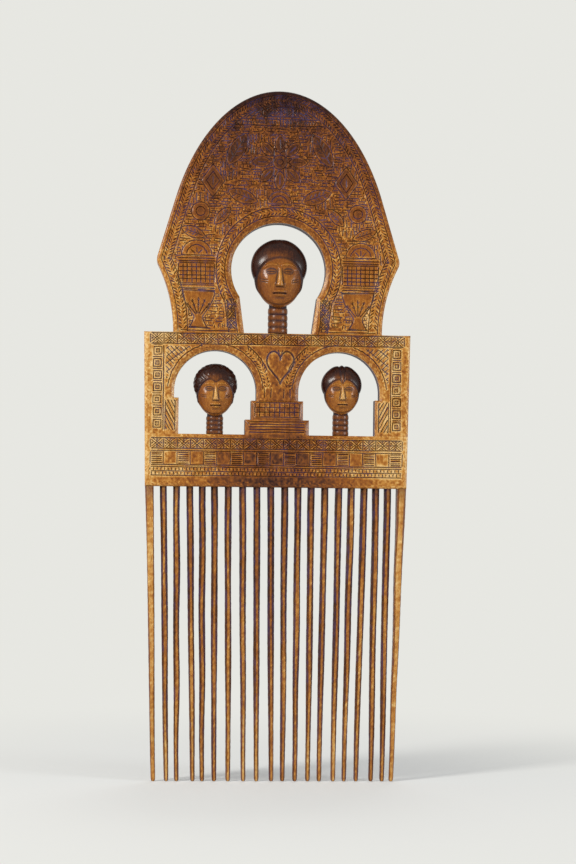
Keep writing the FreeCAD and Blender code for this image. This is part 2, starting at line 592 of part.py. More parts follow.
# Heads: a cap of hair scooped out in front, an egg-shaped face with its features, and a ringed neck.
def make_head(label, key, x, foot):
    body = new_body(label)
    place(body, x=x, y=MID_PLANK, z=foot)
    spans = [f"dims.{key}_head_{measure}" for measure in ("width", "depth", "height")]
    chin = f"dims.{key}_neck_length"
    middle = f"(dims.plank_thickness / 2 - dims.head_back_gap - dims.{key}_head_depth / 2)"

    def lump(kind, name, centre, radii):
        mass = body.newObject(f"PartDesign::{kind}Ellipsoid", f"{label}_{name}")
        for measure, radius, span in zip(("Radius2", "Radius3", "Radius1"), radii, spans):
            mass.setExpression(measure, f"{radius} * {span}")
        place(
            mass, f"{centre[0]} * {spans[0]}", f"{middle} + {centre[1]} * {spans[1]}",
            f"{chin} + {centre[2]} * {spans[2]}",
        )
        body.Tip = mass
        doc.recompute()

    lump("Additive", "hair", *HAIR)
    lump("Subtractive", "scoop", *SCOOP)
    lump("Additive", "face", *FACE)

    for name, (root, ridge, front, back, low, ridge_top, root_top) in WEDGES.items():
        wedge = body.newObject("PartDesign::AdditiveWedge", f"{label}_{name}")
        sides = {
            "Xmin": -ridge, "Xmax": ridge, "X2min": -root, "X2max": root, "Ymin": front, "Ymax": back,
            "Zmin": low, "Zmax": ridge_top, "Z2min": low, "Z2max": root_top,
        }
        for side, share in sides.items():
            wedge.setExpression(side, f"{share} * {spans['XYZ'.index(side[0])]}")
        place(wedge, y=middle, z=chin)
        body.Tip = wedge
        doc.recompute()
    for name, share in EYES.items():
        eye = body.newObject("PartDesign::AdditiveCylinder", f"{label}_{name}")
        eye.Placement.Rotation = FreeCAD.Rotation(Vector(1, 0, 0), -90)
        eye.setExpression("Radius", f"{EYE_RADIUS} * {spans[0]}")
        eye.setExpression("Height", f"{EYE_LENGTH} * {spans[1]}")
        place(eye, f"{share} * {spans[0]}", f"{middle} + {EYE_FRONT} * {spans[1]}",
              f"{chin} + {EYE_LEVEL} * {spans[2]}")
        body.Tip = eye
        doc.recompute()

    ring = f"(dims.{key}_neck_width / 2)"
    core = f"({NECK_CORE} * {ring})"
    spacing = f"({chin} / {NECK_RINGS})"
    profile = [("0", "0"), (core, "0")]
    for number in range(NECK_RINGS):
        profile.append((ring, f"{number + RING_BEVEL} * {spacing}"))
        profile.append((ring, f"{number + 1 - RING_BEVEL} * {spacing}"))
        profile.append((core, f"{number + 1} * {spacing}"))
    top = f"({chin} + {NECK_INSERT} * {spans[2]})"
    profile += [(core, top), ("0", top)]
    sketch = new_sketch(body, "XZ_Plane", f"{label}_neck_profile")
    line = chain(sketch, [(size(x), size(z)) for x, z in profile])
    sketch.addConstraint(Sketcher.Constraint("Coincident", line, 1, -1, 1))
    for n, (x, z) in enumerate(profile[1:], start=1):
        fix_point(sketch, line + n, 1, x, z)
    neck = body.newObject("PartDesign::Revolution", f"{label}_neck")
    neck.Profile = sketch
    neck.ReferenceAxis = (sketch, ["V_Axis"])
    neck.Angle = 360
    body.Tip = neck
    doc.recompute()
    return body


members = [make_tooth_bar(), make_arcade_panel(), make_stepped_pedestal(), make_crest_board()]
members.append(make_head("centre_head", "centre", "0", CREST_FOOT))
members.append(make_head("left_head", "left", "-dims.left_head_place", SILL))
members.append(make_head("right_head", "right", "dims.right_head_place", SILL))
members.append(make_guard_tooth("left_guard_tooth", -1))
members.extend(make_inner_tooth(number) for number in range(1, INNER_TEETH + 1))
members.append(make_guard_tooth("right_guard_tooth", 1))
doc.recompute()

for item in doc.Objects:
    if "Invalid" in item.State or "Error" in item.State:
        raise RuntimeError(f"{item.Label} did not build")
os.makedirs("parts", exist_ok=True)
for member in members:
    shape = member.Shape
    if shape.isNull() or not shape.isValid() or len(shape.Solids) != 1:
        raise RuntimeError(f"{member.Label} is not one valid solid")
    shape.exportStep(f"parts/{member.Label}.step")
    box = shape.BoundBox
    print(f"{member.Label}: {shape.Volume:.0f} mm3, z {box.ZMin:.1f} to {box.ZMax:.1f}")
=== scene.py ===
"""Looks of a carved wooden afro pick, a long-toothed comb with three heads in arched windows.

Shapes are worked out in millimetres, x across the comb and z up it, and become metres in the mesh.
The front of the plank faces -Y. Every carved line is a V groove cut into the mesh itself.
"""

import math
import random
from functools import partial

import bmesh
import bpy
import numpy as np
from mathutils import Matrix, Vector
from mathutils.geometry import delaunay_2d_cdt


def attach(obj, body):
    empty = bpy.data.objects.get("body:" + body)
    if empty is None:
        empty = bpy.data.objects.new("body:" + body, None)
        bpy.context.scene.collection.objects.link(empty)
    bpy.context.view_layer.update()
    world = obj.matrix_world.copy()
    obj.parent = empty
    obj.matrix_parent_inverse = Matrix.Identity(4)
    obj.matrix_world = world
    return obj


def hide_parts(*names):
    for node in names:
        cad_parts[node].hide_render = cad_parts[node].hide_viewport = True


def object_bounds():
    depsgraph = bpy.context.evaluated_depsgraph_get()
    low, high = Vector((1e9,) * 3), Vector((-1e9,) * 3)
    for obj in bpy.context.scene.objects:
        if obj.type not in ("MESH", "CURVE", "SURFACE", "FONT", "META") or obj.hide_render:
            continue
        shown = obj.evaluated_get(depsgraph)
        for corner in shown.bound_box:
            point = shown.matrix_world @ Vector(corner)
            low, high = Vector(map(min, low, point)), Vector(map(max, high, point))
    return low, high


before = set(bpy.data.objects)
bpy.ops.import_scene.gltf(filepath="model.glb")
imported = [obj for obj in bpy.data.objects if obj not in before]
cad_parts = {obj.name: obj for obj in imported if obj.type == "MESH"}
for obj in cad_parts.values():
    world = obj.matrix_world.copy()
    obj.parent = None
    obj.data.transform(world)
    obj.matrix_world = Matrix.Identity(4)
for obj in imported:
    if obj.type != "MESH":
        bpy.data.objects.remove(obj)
cad_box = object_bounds()

MM = 0.001
SIDES = (-1, 1)
hand = random.Random(11)  # the small unevenness of hand carving, the same on each run

# Sizes of the plank, in millimetres.
PLANK = 10.0
BAR_FOOT = -13.1
SILL = 13.1
CREST_FOOT = 63.9
APEX = 185.9
BAR_FOOT_HALF = 65.4
PANEL_TOP_HALF = 66.75
SILL_HALF = BAR_FOOT_HALF + (PANEL_TOP_HALF - BAR_FOOT_HALF) * (SILL - BAR_FOOT) / (CREST_FOOT - BAR_FOOT)
ARCH_X = 31.0
ARCH_RADIUS = 20.5
ARCH_Z = SILL + 21.5
PLINTH_TOP = SILL + 18.0
STILE_IN = ARCH_X + ARCH_RADIUS
PLINTH_IN = STILE_IN - 2.3
COLUMN = ARCH_X - ARCH_RADIUS
TIER_STEP = SILL + 7.5
TIER_TOP = SILL + 17.0
TIER_LOW = 16.0
TIER_HIGH = 13.0
CREST_FOOT_HALF = 52.3
SHOULDER_X = 61.3
SHOULDER_RISE = 36.0
SHOULDER_BLUNT = 2.0
DOME_ACROSS = 58.3
DOME_RISE = 100.0
DOME_Z = APEX - DOME_RISE
KEY_RADIUS = 23.8
KEY_Z = CREST_FOOT + 31.8
KEY_NOTCH = 19.5
KEY_FOOT = 17.0
SAMPLE = 0.8  # spacing of the points along a curved edge
COARSE = 2.0  # and along the straight sides of a motif or a field
RULED = 9.0  # and along a cut that follows a rule


# Outlines as rows of (x, z) points.
def norms(rows):
    return np.linalg.norm(rows, axis=1)


def arc(centre, radii, start, end, step=SAMPLE):
    """Points on an arc of a circle or ellipse, from one angle to another."""
    across, tall = np.broadcast_to(radii, 2)
    count = max(3, math.ceil(abs(end - start) * max(across, tall) / step))
    turn = np.linspace(start, end, count + 1)
    return np.column_stack([centre[0] + across * np.cos(turn), centre[1] + tall * np.sin(turn)])


def joined(*pieces):
    """Rows of points end to end, without the doubled ones."""
    points = np.vstack(pieces)
    apart = norms(np.diff(points, axis=0)) > 1e-6
    return points[np.concatenate([[True], apart])]


def run(*corners, step=SAMPLE):
    """Points along straight lines between corners."""
    pieces = []
    for a, b in zip(corners, corners[1:]):
        a, b = np.array(a, float), np.array(b, float)
        count = max(1, math.ceil(np.linalg.norm(b - a) / step))
        pieces.append(a + (b - a) * np.linspace(0, 1, count + 1)[:, None])
    return joined(*pieces)


def mirrored(points):
    """The same line on the other side of the comb, drawn the other way."""
    return (points * [-1, 1])[::-1]


def closing(loop):
    """A loop with its first point again at its end."""
    return np.vstack([loop, loop[:1]])


def box_loop(left, right, low, high, step=COARSE):
    return run((left, low), (right, low), (right, high), (left, high), (left, low), step=step)[:-1]


def ray(degrees):
    """The unit vector at an angle from level."""
    turn = math.radians(degrees)
    return np.array([math.cos(turn), math.sin(turn)])


def on_side(side, degrees):
    """An angle given for the right side of the comb, mirrored for the left."""
    return degrees if side > 0 else 180 - degrees


def crest_flank():
    """Right side of the crest, from its foot over the blunted shoulder to the apex."""
    lean = SHOULDER_X - CREST_FOOT_HALF
    flare = (lean ** 2 + SHOULDER_RISE ** 2) / (2 * lean)
    turn = math.asin(SHOULDER_RISE / flare)
    shoulder = np.array([SHOULDER_X, CREST_FOOT + SHOULDER_RISE])
    u, v = SHOULDER_X / DOME_ACROSS, (shoulder[1] - DOME_Z) / DOME_RISE
    touch = math.atan2(v, u) + math.acos(1 / math.hypot(u, v))
    dome = arc((0, DOME_Z), (DOME_ACROSS, DOME_RISE), touch, math.pi / 2)
    flank = arc((CREST_FOOT_HALF + flare, CREST_FOOT), flare, math.pi, math.pi - turn)
    whole = joined(flank, run(shoulder, dome[0]), dome)
    away = norms(whole - shoulder)
    corner = int(np.argmin(away))
    before = whole[:corner][away[:corner] > SHOULDER_BLUNT]
    after = whole[corner:][away[corner:] > SHOULDER_BLUNT]
    share = np.linspace(0, 1, 6)[:, None]
    bow = before[-1] * (1 - share) ** 2 + shoulder * 2 * share * (1 - share) + after[0] * share ** 2
    return joined(before, bow, after)


# Edges of the right half: the keyhole from its foot up, the arched window from the plinth to the column.
CREST_RIGHT = crest_flank()
CREST_EDGE = joined(CREST_RIGHT, mirrored(CREST_RIGHT))
KEY_RING = arc((0, KEY_Z), KEY_RADIUS, -math.acos(KEY_NOTCH / KEY_RADIUS), math.pi / 2)
KEY_RIGHT = joined(run((KEY_FOOT, CREST_FOOT), KEY_RING[0]), KEY_RING)
KEYHOLE = joined(KEY_RIGHT, mirrored(KEY_RIGHT))
WINDOW = joined(
    run((PLINTH_IN, SILL), (PLINTH_IN, PLINTH_TOP), (STILE_IN, PLINTH_TOP), (STILE_IN, ARCH_Z)),
    arc((ARCH_X, ARCH_Z), ARCH_RADIUS, 0, math.pi), run((COLUMN, ARCH_Z), (COLUMN, TIER_TOP)))
PLANK_SIDE = run((BAR_FOOT_HALF, BAR_FOOT), (PANEL_TOP_HALF, CREST_FOOT))
PANEL_CORNER = run((PANEL_TOP_HALF, CREST_FOOT), (CREST_FOOT_HALF, CREST_FOOT))
PEDESTAL_SIDE = run((COLUMN, TIER_TOP), (TIER_HIGH, TIER_TOP), (TIER_HIGH, TIER_STEP),
                    (TIER_LOW, TIER_STEP), (TIER_LOW, SILL))

# The members' own loops, counterclockwise seen from the front.
CREST_LOOP = joined(
    CREST_EDGE, run((-CREST_FOOT_HALF, CREST_FOOT), (-KEY_FOOT, CREST_FOOT)), KEYHOLE[::-1],
    run((KEY_FOOT, CREST_FOOT), (CREST_FOOT_HALF, CREST_FOOT)))[:-1]
PANEL_LOOP = joined(
    run((SILL_HALF, SILL), (PANEL_TOP_HALF, CREST_FOOT), (-PANEL_TOP_HALF, CREST_FOOT), (-SILL_HALF, SILL),
        (-PLINTH_IN, SILL)),
    mirrored(WINDOW)[::-1], run((-COLUMN, TIER_TOP), (COLUMN, TIER_TOP)), WINDOW[::-1],
    run((PLINTH_IN, SILL), (SILL_HALF, SILL)))[:-1]
PEDESTAL_LOOP = joined(
    run((-TIER_LOW, SILL), (TIER_LOW, SILL)), PEDESTAL_SIDE[::-1],
    run((COLUMN, TIER_TOP), (-COLUMN, TIER_TOP)), mirrored(PEDESTAL_SIDE)[::-1])[:-1]
BAR_LOOP = run((-BAR_FOOT_HALF, BAR_FOOT), (BAR_FOOT_HALF, BAR_FOOT), (SILL_HALF, SILL),
               (-SILL_HALF, SILL), (-BAR_FOOT_HALF, BAR_FOOT))[:-1]

# Edges that stand free all round the comb, which the carver rounded, and those of the windows.
RIM_EDGES = [PLANK_SIDE, mirrored(PLANK_SIDE), PANEL_CORNER, mirrored(PANEL_CORNER), CREST_EDGE,
             run((-BAR_FOOT_HALF, BAR_FOOT), (BAR_FOOT_HALF, BAR_FOOT))]
SIDE_WINDOW_EDGE = joined(WINDOW, PEDESTAL_SIDE, run((TIER_LOW, SILL), (PLINTH_IN, SILL)))
WINDOW_EDGES = [joined(KEYHOLE, run((-KEY_FOOT, CREST_FOOT), (KEY_FOOT, CREST_FOOT))),
                SIDE_WINDOW_EDGE, mirrored(SIDE_WINDOW_EDGE)]


# Distances and insides.
class Cells:
    """Points sorted into square cells, so that those near a short line are found quickly."""
    SIZE = 2.0
    ROW = 1000

    def __init__(self, points):
        cell = self.cell_of(points)
        code = cell[:, 0] * self.ROW + cell[:, 1]
        self.order = np.argsort(code)
        self.ranked = code[self.order]

    def cell_of(self, points):
        return np.floor(points / self.SIZE).astype(int) + self.ROW // 2

    def around(self, a, b, reach):
        low = self.cell_of(np.minimum(a, b) - reach)
        high = self.cell_of(np.maximum(a, b) + reach)
        columns = np.arange(low[0], high[0] + 1) * self.ROW
        first = np.searchsorted(self.ranked, columns + low[1])
        last = np.searchsorted(self.ranked, columns + high[1], "right")
        return np.concatenate([self.order[i:j] for i, j in zip(first, last)])


def along_and_off(points, a, b):
    """How far along a short line each point lies, from 0 to 1, and its distance from the line."""
    span = b - a
    away = points - a
    share = np.clip(away @ span / max(span @ span, 1e-12), 0, 1)
    return share, norms(away - share[:, None] * span)


def distance_to(points, lines, reach=3.6):
    """Each point's distance to the nearest of several lines, or reach where none is that near."""
    cells = Cells(points)
    found = np.full(len(points), reach)
    for line in lines:
        for a, b in zip(line, line[1:]):
            near = cells.around(a, b, reach)
            found[near] = np.minimum(found[near], along_and_off(points[near], a, b)[1])
    return found


def inside(points, loop, block=4000):
    """True for the points within a closed loop."""
    found = np.zeros(len(points), bool)
    a, b = loop, np.roll(loop, -1, axis=0)
    rise = np.where(b[:, 1] == a[:, 1], 1e-12, b[:, 1] - a[:, 1])
    boxed = np.flatnonzero(((points >= loop.min(0)) & (points <= loop.max(0))).all(1))
    for first in range(0, len(boxed), block):
        part = boxed[first:first + block]
        x, z = points[part, 0:1], points[part, 1:2]
        spans = (a[:, 1] > z) != (b[:, 1] > z)
        crossing = a[:, 0] + (z - a[:, 1]) * (b[:, 0] - a[:, 0]) / rise
        found[part] = (spans & (x < crossing)).sum(1) % 2 == 1
    return found


def inside_any(points, loops):
    found = np.zeros(len(points), bool)
    for loop in loops:
        found |= inside(points, loop)
    return found


def smooth(low, high, value):
    """0 below low, 1 above high, and an even turn between them."""
    share = np.clip((value - low) / (high - low), 0, 1)
    return share * share * (3 - 2 * share)


def fall(low, high, value):
    return 1 - smooth(low, high, value)


# Carved strokes. Each is a row of points with the groove's half width and depth at each.
GROOVE_WIDTH = 0.74
GROOVE_DEPTH = 0.42
HATCH_DEPTH = 0.28
LIGHT_DEPTH = 0.25
FAINT_DEPTH = 0.22
TAPER = 0.7
FINE_END = 0.02  # half width to which a stroke thins out
PROBE = 0.3  # spacing of the points that feel out where a cut may run
SHORTEST_CUT = 1.2
COURSE = 1.6
CROSS_BAND = 0.5
carving = {"crest_board": [], "arcade_panel": [], "stepped_pedestal": [], "tooth_bar": []}
relief = {}  # for a member: the fields whose ground is cut back, and the motifs left standing in them


def wander(reach):
    return hand.uniform(-reach, reach)


def stroke(member, points, width=GROOVE_WIDTH, depth=GROOVE_DEPTH, closed=False, unsteady=0.14):
    """One cut of the knife, thinning out at its ends unless it closes on itself."""
    points = np.array(points, float)
    if not closed:
        points = points + np.array([[wander(unsteady), wander(unsteady)] for _ in points])
    width *= hand.uniform(0.86, 1.14)
    depth *= hand.uniform(0.82, 1.12)
    if closed:
        points = closing(points)
    else:
        taper = min(TAPER, 0.35 * norms(np.diff(points, axis=0)).sum())
        ends = []
        for end, span in ((points[0], points[1] - points[0]), (points[-1], points[-2] - points[-1])):
            ends.append(end + span * min(0.5, taper / max(np.linalg.norm(span), 1e-6)))
        points = np.vstack([points[:1], ends[0], points[1:-1], ends[1], points[-1:]])
    half = np.full(len(points), width / 2)
    deep = np.full(len(points), depth)
    if not closed:
        half[[0, -1]] = FINE_END
        deep[[0, -1]] = 0.0
    carving[member].append((points, half, deep))


class Trail:
    """A line that can be asked for its point and its left-hand normal at any length along it."""
    LOOK = 1.5

    def __init__(self, points):
        self.points = points
        self.marks = np.concatenate([[0], np.cumsum(norms(np.diff(points, axis=0)))])
        self.length = self.marks[-1]

    def place(self, lengths):
        lengths = np.clip(lengths, 0, self.length)
        return np.stack([np.interp(lengths, self.marks, self.points[:, k]) for k in (0, 1)], axis=-1)

    def at(self, lengths, aside=0.0):
        along = self.place(lengths + self.LOOK) - self.place(lengths - self.LOOK)
        along = along / np.linalg.norm(along, axis=-1, keepdims=True)
        return self.place(lengths) + aside * np.stack([-along[..., 1], along[..., 0]], axis=-1)


def beside(points, aside):
    """A line drawn at a distance to the left of another, without the loops an offset leaves in corners."""
    trail = Trail(points)
    made = trail.at(np.linspace(0, trail.length, math.ceil(trail.length / SAMPLE)), aside)
    clear = distance_to(made, [points], abs(aside) + 1) > abs(aside) - 0.06
    return made[clear]


def level_line(cut, left, right, z):
    """A long level cut, drawn along a rule."""
    cut(run((left, z), (right, z), step=RULED), unsteady=0.08)


def herringbone(cut, points, inner, outer, pitch, slant, ends=(2.0, 2.0)):
    """Two rows of leaning cuts that meet along the middle of a band beside a line."""
    trail = Trail(points)
    middle = (inner + outer) / 2
    gap = 0.12 * (outer - inner)
    for s in np.arange(ends[0], trail.length - ends[1], pitch):
        lean = slant * hand.uniform(0.8, 1.2)
        cut([trail.at(s, inner), trail.at(s + lean, middle - gap / 2)])
        cut([trail.at(s + lean, middle + gap / 2), trail.at(s, outer)])


def bordered(cut, edge, lines, pitch, slant):
    """A herringbone band between two lines along an edge, and the field's edge beyond it."""
    for aside in lines:
        cut(beside(edge, aside), unsteady=0.05)
    herringbone(cut, edge, lines[0] + 0.3, lines[1] - 0.2, pitch, slant)
    return beside(edge, lines[1] + 0.5)


def cut_runs(cut, points, keep, depth, longest):
    """Strokes along the kept stretches of a row of points, lifted now and then."""
    edges = np.flatnonzero(np.diff(np.concatenate([[0], keep.astype(int), [0]])))
    for first, last in zip(edges[::2], edges[1::2] - 1):
        while last - first > 1:
            end = min(last, first + int(hand.uniform(0.7, 1.0) * longest / PROBE))
            if np.linalg.norm(points[end] - points[first]) > SHORTEST_CUT:
                cut([points[first], points[end]], depth=depth)
            first = end + 2


def hatch(cut, region, degrees, pitch, depth=HATCH_DEPTH):
    """Straight cuts that fill a region and stop at its edge."""
    along = ray(degrees)
    across = np.array([-along[1], along[0]])
    reach = region @ across
    span = region @ along
    for level in np.arange(reach.min() + pitch / 2, reach.max(), pitch):
        level += wander(0.1 * pitch)
        steps = np.arange(span.min(), span.max(), PROBE)
        points = steps[:, None] * along + level * across
        cut_runs(cut, points, inside(points, region), depth, longest=99.0)


def upright_ground(points):
    """True in the patches of ground whose courses run up the comb."""
    x, z = points.T
    return np.sin(0.2 * x + 0.6) * np.sin(0.23 * z - 0.4) > 0.25


def basket(cut, region, holes, upright):
    """Courses of small oblong blocks, level or upright, the ground behind the motifs."""
    order = [1, 0] if upright else [0, 1]
    low, high = region[:, order].min(0), region[:, order].max(0)

    def bare(points):
        return inside(points, region) & (upright_ground(points) == upright) & ~inside_any(points, holes)

    level = low[1]
    while level < high[1]:
        course = COURSE * hand.uniform(0.8, 1.3)
        steps = np.arange(low[0], high[0], PROBE)
        points = np.column_stack([steps, level + 0.3 * np.sin(0.35 * steps + 5.0 * level)])[:, order]
        cut_runs(cut, points, bare(points), hand.uniform(0.3, 0.42), longest=6.5)
        place = low[0]
        ticks = []
        while place < high[0]:
            place += COURSE * hand.uniform(0.7, 1.9)
            ticks.append([[place, level + 0.15], [place + wander(0.4), level + course - 0.15]])
        ticks = np.array(ticks)[..., order]
        for tick in ticks[bare(ticks.reshape(-1, 2)).reshape(-1, 2).all(1)]:
            cut(tick, width=0.6, depth=0.36)
        level += course


def crossed_boxes(cut, left, right, low, high, count):
    """A row of boxes, each with a cross that stands as two bands between four small chips."""
    edges = np.linspace(left, right, count + 1)
    for z in (low, high):
        level_line(cut, left, right, z)
    for x in edges:
        cut([(x, low), (x, high)])
    for a, b in zip(edges, edges[1:]):
        inset = 0.1 * (b - a)
        for foot, top in ((low + 0.3, high - 0.3), (high - 0.3, low + 0.3)):
            for aside in (-CROSS_BAND, CROSS_BAND):
                cut(beside(np.array([(a + inset, foot), (b - inset, top)]), aside), 0.55, 0.4)
        middle = np.array([(a + b) / 2, (low + high) / 2])
        for side in ((a, middle[1]), (b, middle[1]), (middle[0], low), (middle[0], high)):
            inward = middle - side
            cut([side + 0.16 * inward, side + 0.42 * inward], 1.3, 0.5)


def grid(cut, left, right, low, high, columns, rows):
    for x in np.linspace(left, right, columns + 1):
        cut([(x, low), (x, high)])
    for z in np.linspace(low, high, rows + 1):
        cut([(left, z), (right, z)])


# Motifs as closed loops.
def turned(points, degrees, centre):
    c, s = ray(degrees)
    return points @ np.array([[c, s], [-s, c]]) + np.array(centre, float)


def leaf_loop(centre, length, width, degrees):
    """An almond of two arcs through its tips."""
    radius = (length ** 2 + width ** 2) / (4 * width)
    spread = math.asin(length / (2 * radius))
    up = math.pi / 2
    upper = arc((0, width / 2 - radius), radius, up - spread, up + spread, step=1.0)
    return turned(joined(upper, (upper * [1, -1])[::-1])[:-1], degrees, centre)


def disc_loop(centre, radius):
    return arc(centre, radius, 0, 2 * math.pi, step=0.9)[:-1]


def lozenge_loop(centre, across, tall):
    x, z = across / 2, tall / 2
    return run((x, 0), (0, z), (-x, 0), (0, -z), (x, 0), step=COARSE)[:-1] + np.array(centre)


def half_disc_loop(centre, radius):
    x, z = centre
    bow = arc(centre, radius, 0, math.pi, step=0.9)
    return joined(bow, run((x - radius, z), (x + radius, z), step=COARSE))[:-1]


def heart_loop(centre, across, tall):
    t = np.linspace(0, 2 * math.pi, 44, endpoint=False)
    x = np.sin(t) ** 3
    z = (13 * np.cos(t) - 5 * np.cos(2 * t) - 2 * np.cos(3 * t) - np.cos(4 * t)) / 29
    return np.column_stack([-x * across / 2, z * tall + 0.09 * tall]) + np.array(centre)


def goblet_loop(centre, foot, top, brim, waist, base):
    """A cup on a stem: brim at the top, waist a third of the way up, base at the foot."""
    z = np.linspace(0, 1, 14)
    stem = 0.32
    below = base + (waist - base) * np.sin(z / stem * math.pi / 2)
    above = waist + (brim - waist) * np.sin(np.clip((z - stem) / (1 - stem), 0, 1) * math.pi / 2)
    right = np.column_stack([np.where(z < stem, below, above), foot + (top - foot) * z])
    return np.vstack([right, mirrored(right)]) + np.array([centre, 0])


def leaf_veins(cut, centre, length, width, degrees):
    tip = np.array([length / 2, 0])
    cut(turned(np.array([-tip * 0.8, tip * 0.7]), degrees, centre), depth=LIGHT_DEPTH)
    for place in np.linspace(-0.22, 0.2, 4):
        for side in SIDES:
            vein = np.array([[place * length, side * 0.3], [(place + 0.12) * length, side * width * 0.32]])
            cut(turned(vein, degrees, centre), depth=FAINT_DEPTH)


# Crest: a lined border all round, one round the keyhole, and motifs on a basket ground between them.
BORDER = (2.3, 7.0)  # the border's two lines, in from the edge
KEY_BORDER = (3.3, 7.6)
FOOT_LINE = CREST_FOOT + 0.9
FIELD_FOOT = CREST_FOOT + 1.6
LINTEL = 171.6
LINTEL_LINES = ((LINTEL, 20.5), (LINTEL - 3.2, 23.5))  # height and half length
LINTEL_STEP = 8.0
FRINGE_HALF = 21.5
FRINGE_PITCH = 1.35
FRINGE_ENDS = (LINTEL - 0.5, LINTEL - 2.7)
APEX_HALF = 9.0
APEX_BOXES = (LINTEL + 1.4, LINTEL + 6.2)
APEX_HEEL = 9.6
APEX_TIP = 20.0
APEX_TOP = LINTEL + 6.4
ROSETTE = np.array([0.0, 150.0])
ROSETTE_RADII = (3.6, 1.6)
PETALS = 8
PETAL_OUT = 9.2
PETAL_SIZE = (9.8, 5.2)
PETAL_VEIN = (6.2, 11.6)
LEAVES = (((21.5, 156.0), 19.0, 8.0, 120), ((18.5, 132.5), 16.0, 7.0, 20), ((28.5, 122.5), 12.0, 5.0, 133),
          ((43.0, 114.0), 13.0, 5.4, 20))  # middle, length, width and lean on the right side
LOZENGE = (33.5, 140.0)
LOZENGE_SIZES = ((12.0, 17.0), (6.6, 9.6))
LOZENGE_VEIN = 2.6
DISC = (39.5, 124.5)
DISC_RADII = (4.6, 2.3)
MIDDLE_SHELL = (0, 128.9)
MIDDLE_SHELL_RADIUS = 6.2
SIDE_FIELD = 41.2
SIDE_HALF = 9.6
SIDE_SHELL_Z = 102.4
SIDE_SHELL_RADIUS = 7.6
SHELL_RIB = (0.8, 4.4)
LATTICE_LINES = (100.9, 99.5, 87.4, 86.0)
LATTICE_FIELD = (86.0, 101.8)
LATTICE = (88.4, 98.5)
STEM_IN = 1.2
STEM_Z = 71.5
GOBLET = (66.1, 84.8, 8.1, 2.2, 4.6)  # foot and top, and the half widths of brim, waist and base
TWIG_ENDS = (1.2, 10.4)
SPRIGS = (5.4, 7.6)
SPRIG_TURN = 24
SPRIG_LENGTH = 1.9
JAMB = 23.4
JAMB_HALF = 2.2
JAMB_BOXES = (66.2, 80.6)
JAMB_FIELD_HALF = 3.0
JAMB_FIELD = (65.4, 81.4)
crest_cut = partial(stroke, "crest_board")
crest_motifs = []


def motif(loop, *inner, width=0.7):
    """A figure that stands when the ground round it is cut back, with any loops drawn inside it."""
    crest_cut(loop, width, closed=True)
    crest_motifs.append(loop)
    for line in inner:
        crest_cut(line, closed=True)


def shell_bow(centre, radius, short, step=SAMPLE):
    """A half ring over a point, ending a little short of level on both sides."""
    crest_cut(arc(centre, radius, short, math.pi - short, step))


def carve_apex():
    """A row of crossed boxes over a fringe of short cuts."""
    crossed_boxes(crest_cut, -APEX_HALF, APEX_HALF, *APEX_BOXES, 3)
    for side in SIDES:
        tip, heel = (side * APEX_TIP, LINTEL), side * APEX_HEEL
        corner = run(tip, (heel, LINTEL), (heel, APEX_TOP), tip, step=COARSE)
        hatch(crest_cut, corner, 90 + side * 50, 1.5, LIGHT_DEPTH)
    for z, half in LINTEL_LINES:
        crest_cut(run((-half, z), (half, z), step=LINTEL_STEP), unsteady=0.06)
    for x in np.arange(-FRINGE_HALF, FRINGE_HALF, FRINGE_PITCH):
        crest_cut([(x, z) for z in FRINGE_ENDS], depth=HATCH_DEPTH)


def carve_upper_field():
    """A rosette, leaves, lozenges and discs, and a shell above the keyhole."""
    motif(*(disc_loop(ROSETTE, radius) for radius in ROSETTE_RADII))
    for n in range(PETALS):
        turn = 360 * n / PETALS
        motif(leaf_loop(ROSETTE + PETAL_OUT * ray(turn), *PETAL_SIZE, turn))
        crest_cut([ROSETTE + end * ray(turn) for end in PETAL_VEIN], depth=LIGHT_DEPTH)
    for side in SIDES:
        for (x, z), length, width, lean in LEAVES:
            leaf = ((side * x, z), length, width, on_side(side, lean))
            motif(leaf_loop(*leaf))
            leaf_veins(crest_cut, *leaf)
        x, z = lozenge = (side * LOZENGE[0], LOZENGE[1])
        motif(*(lozenge_loop(lozenge, *size) for size in LOZENGE_SIZES))
        crest_cut([(x, z - LOZENGE_VEIN), (x, z + LOZENGE_VEIN)], depth=LIGHT_DEPTH)
        disc = (side * DISC[0], DISC[1])
        motif(*(disc_loop(disc, radius) for radius in DISC_RADII))
    motif(half_disc_loop(MIDDLE_SHELL, MIDDLE_SHELL_RADIUS))
    shell_bow(MIDDLE_SHELL, 4.1, short=0.1)
    shell_bow(MIDDLE_SHELL, 2.0, short=0.2, step=0.5)


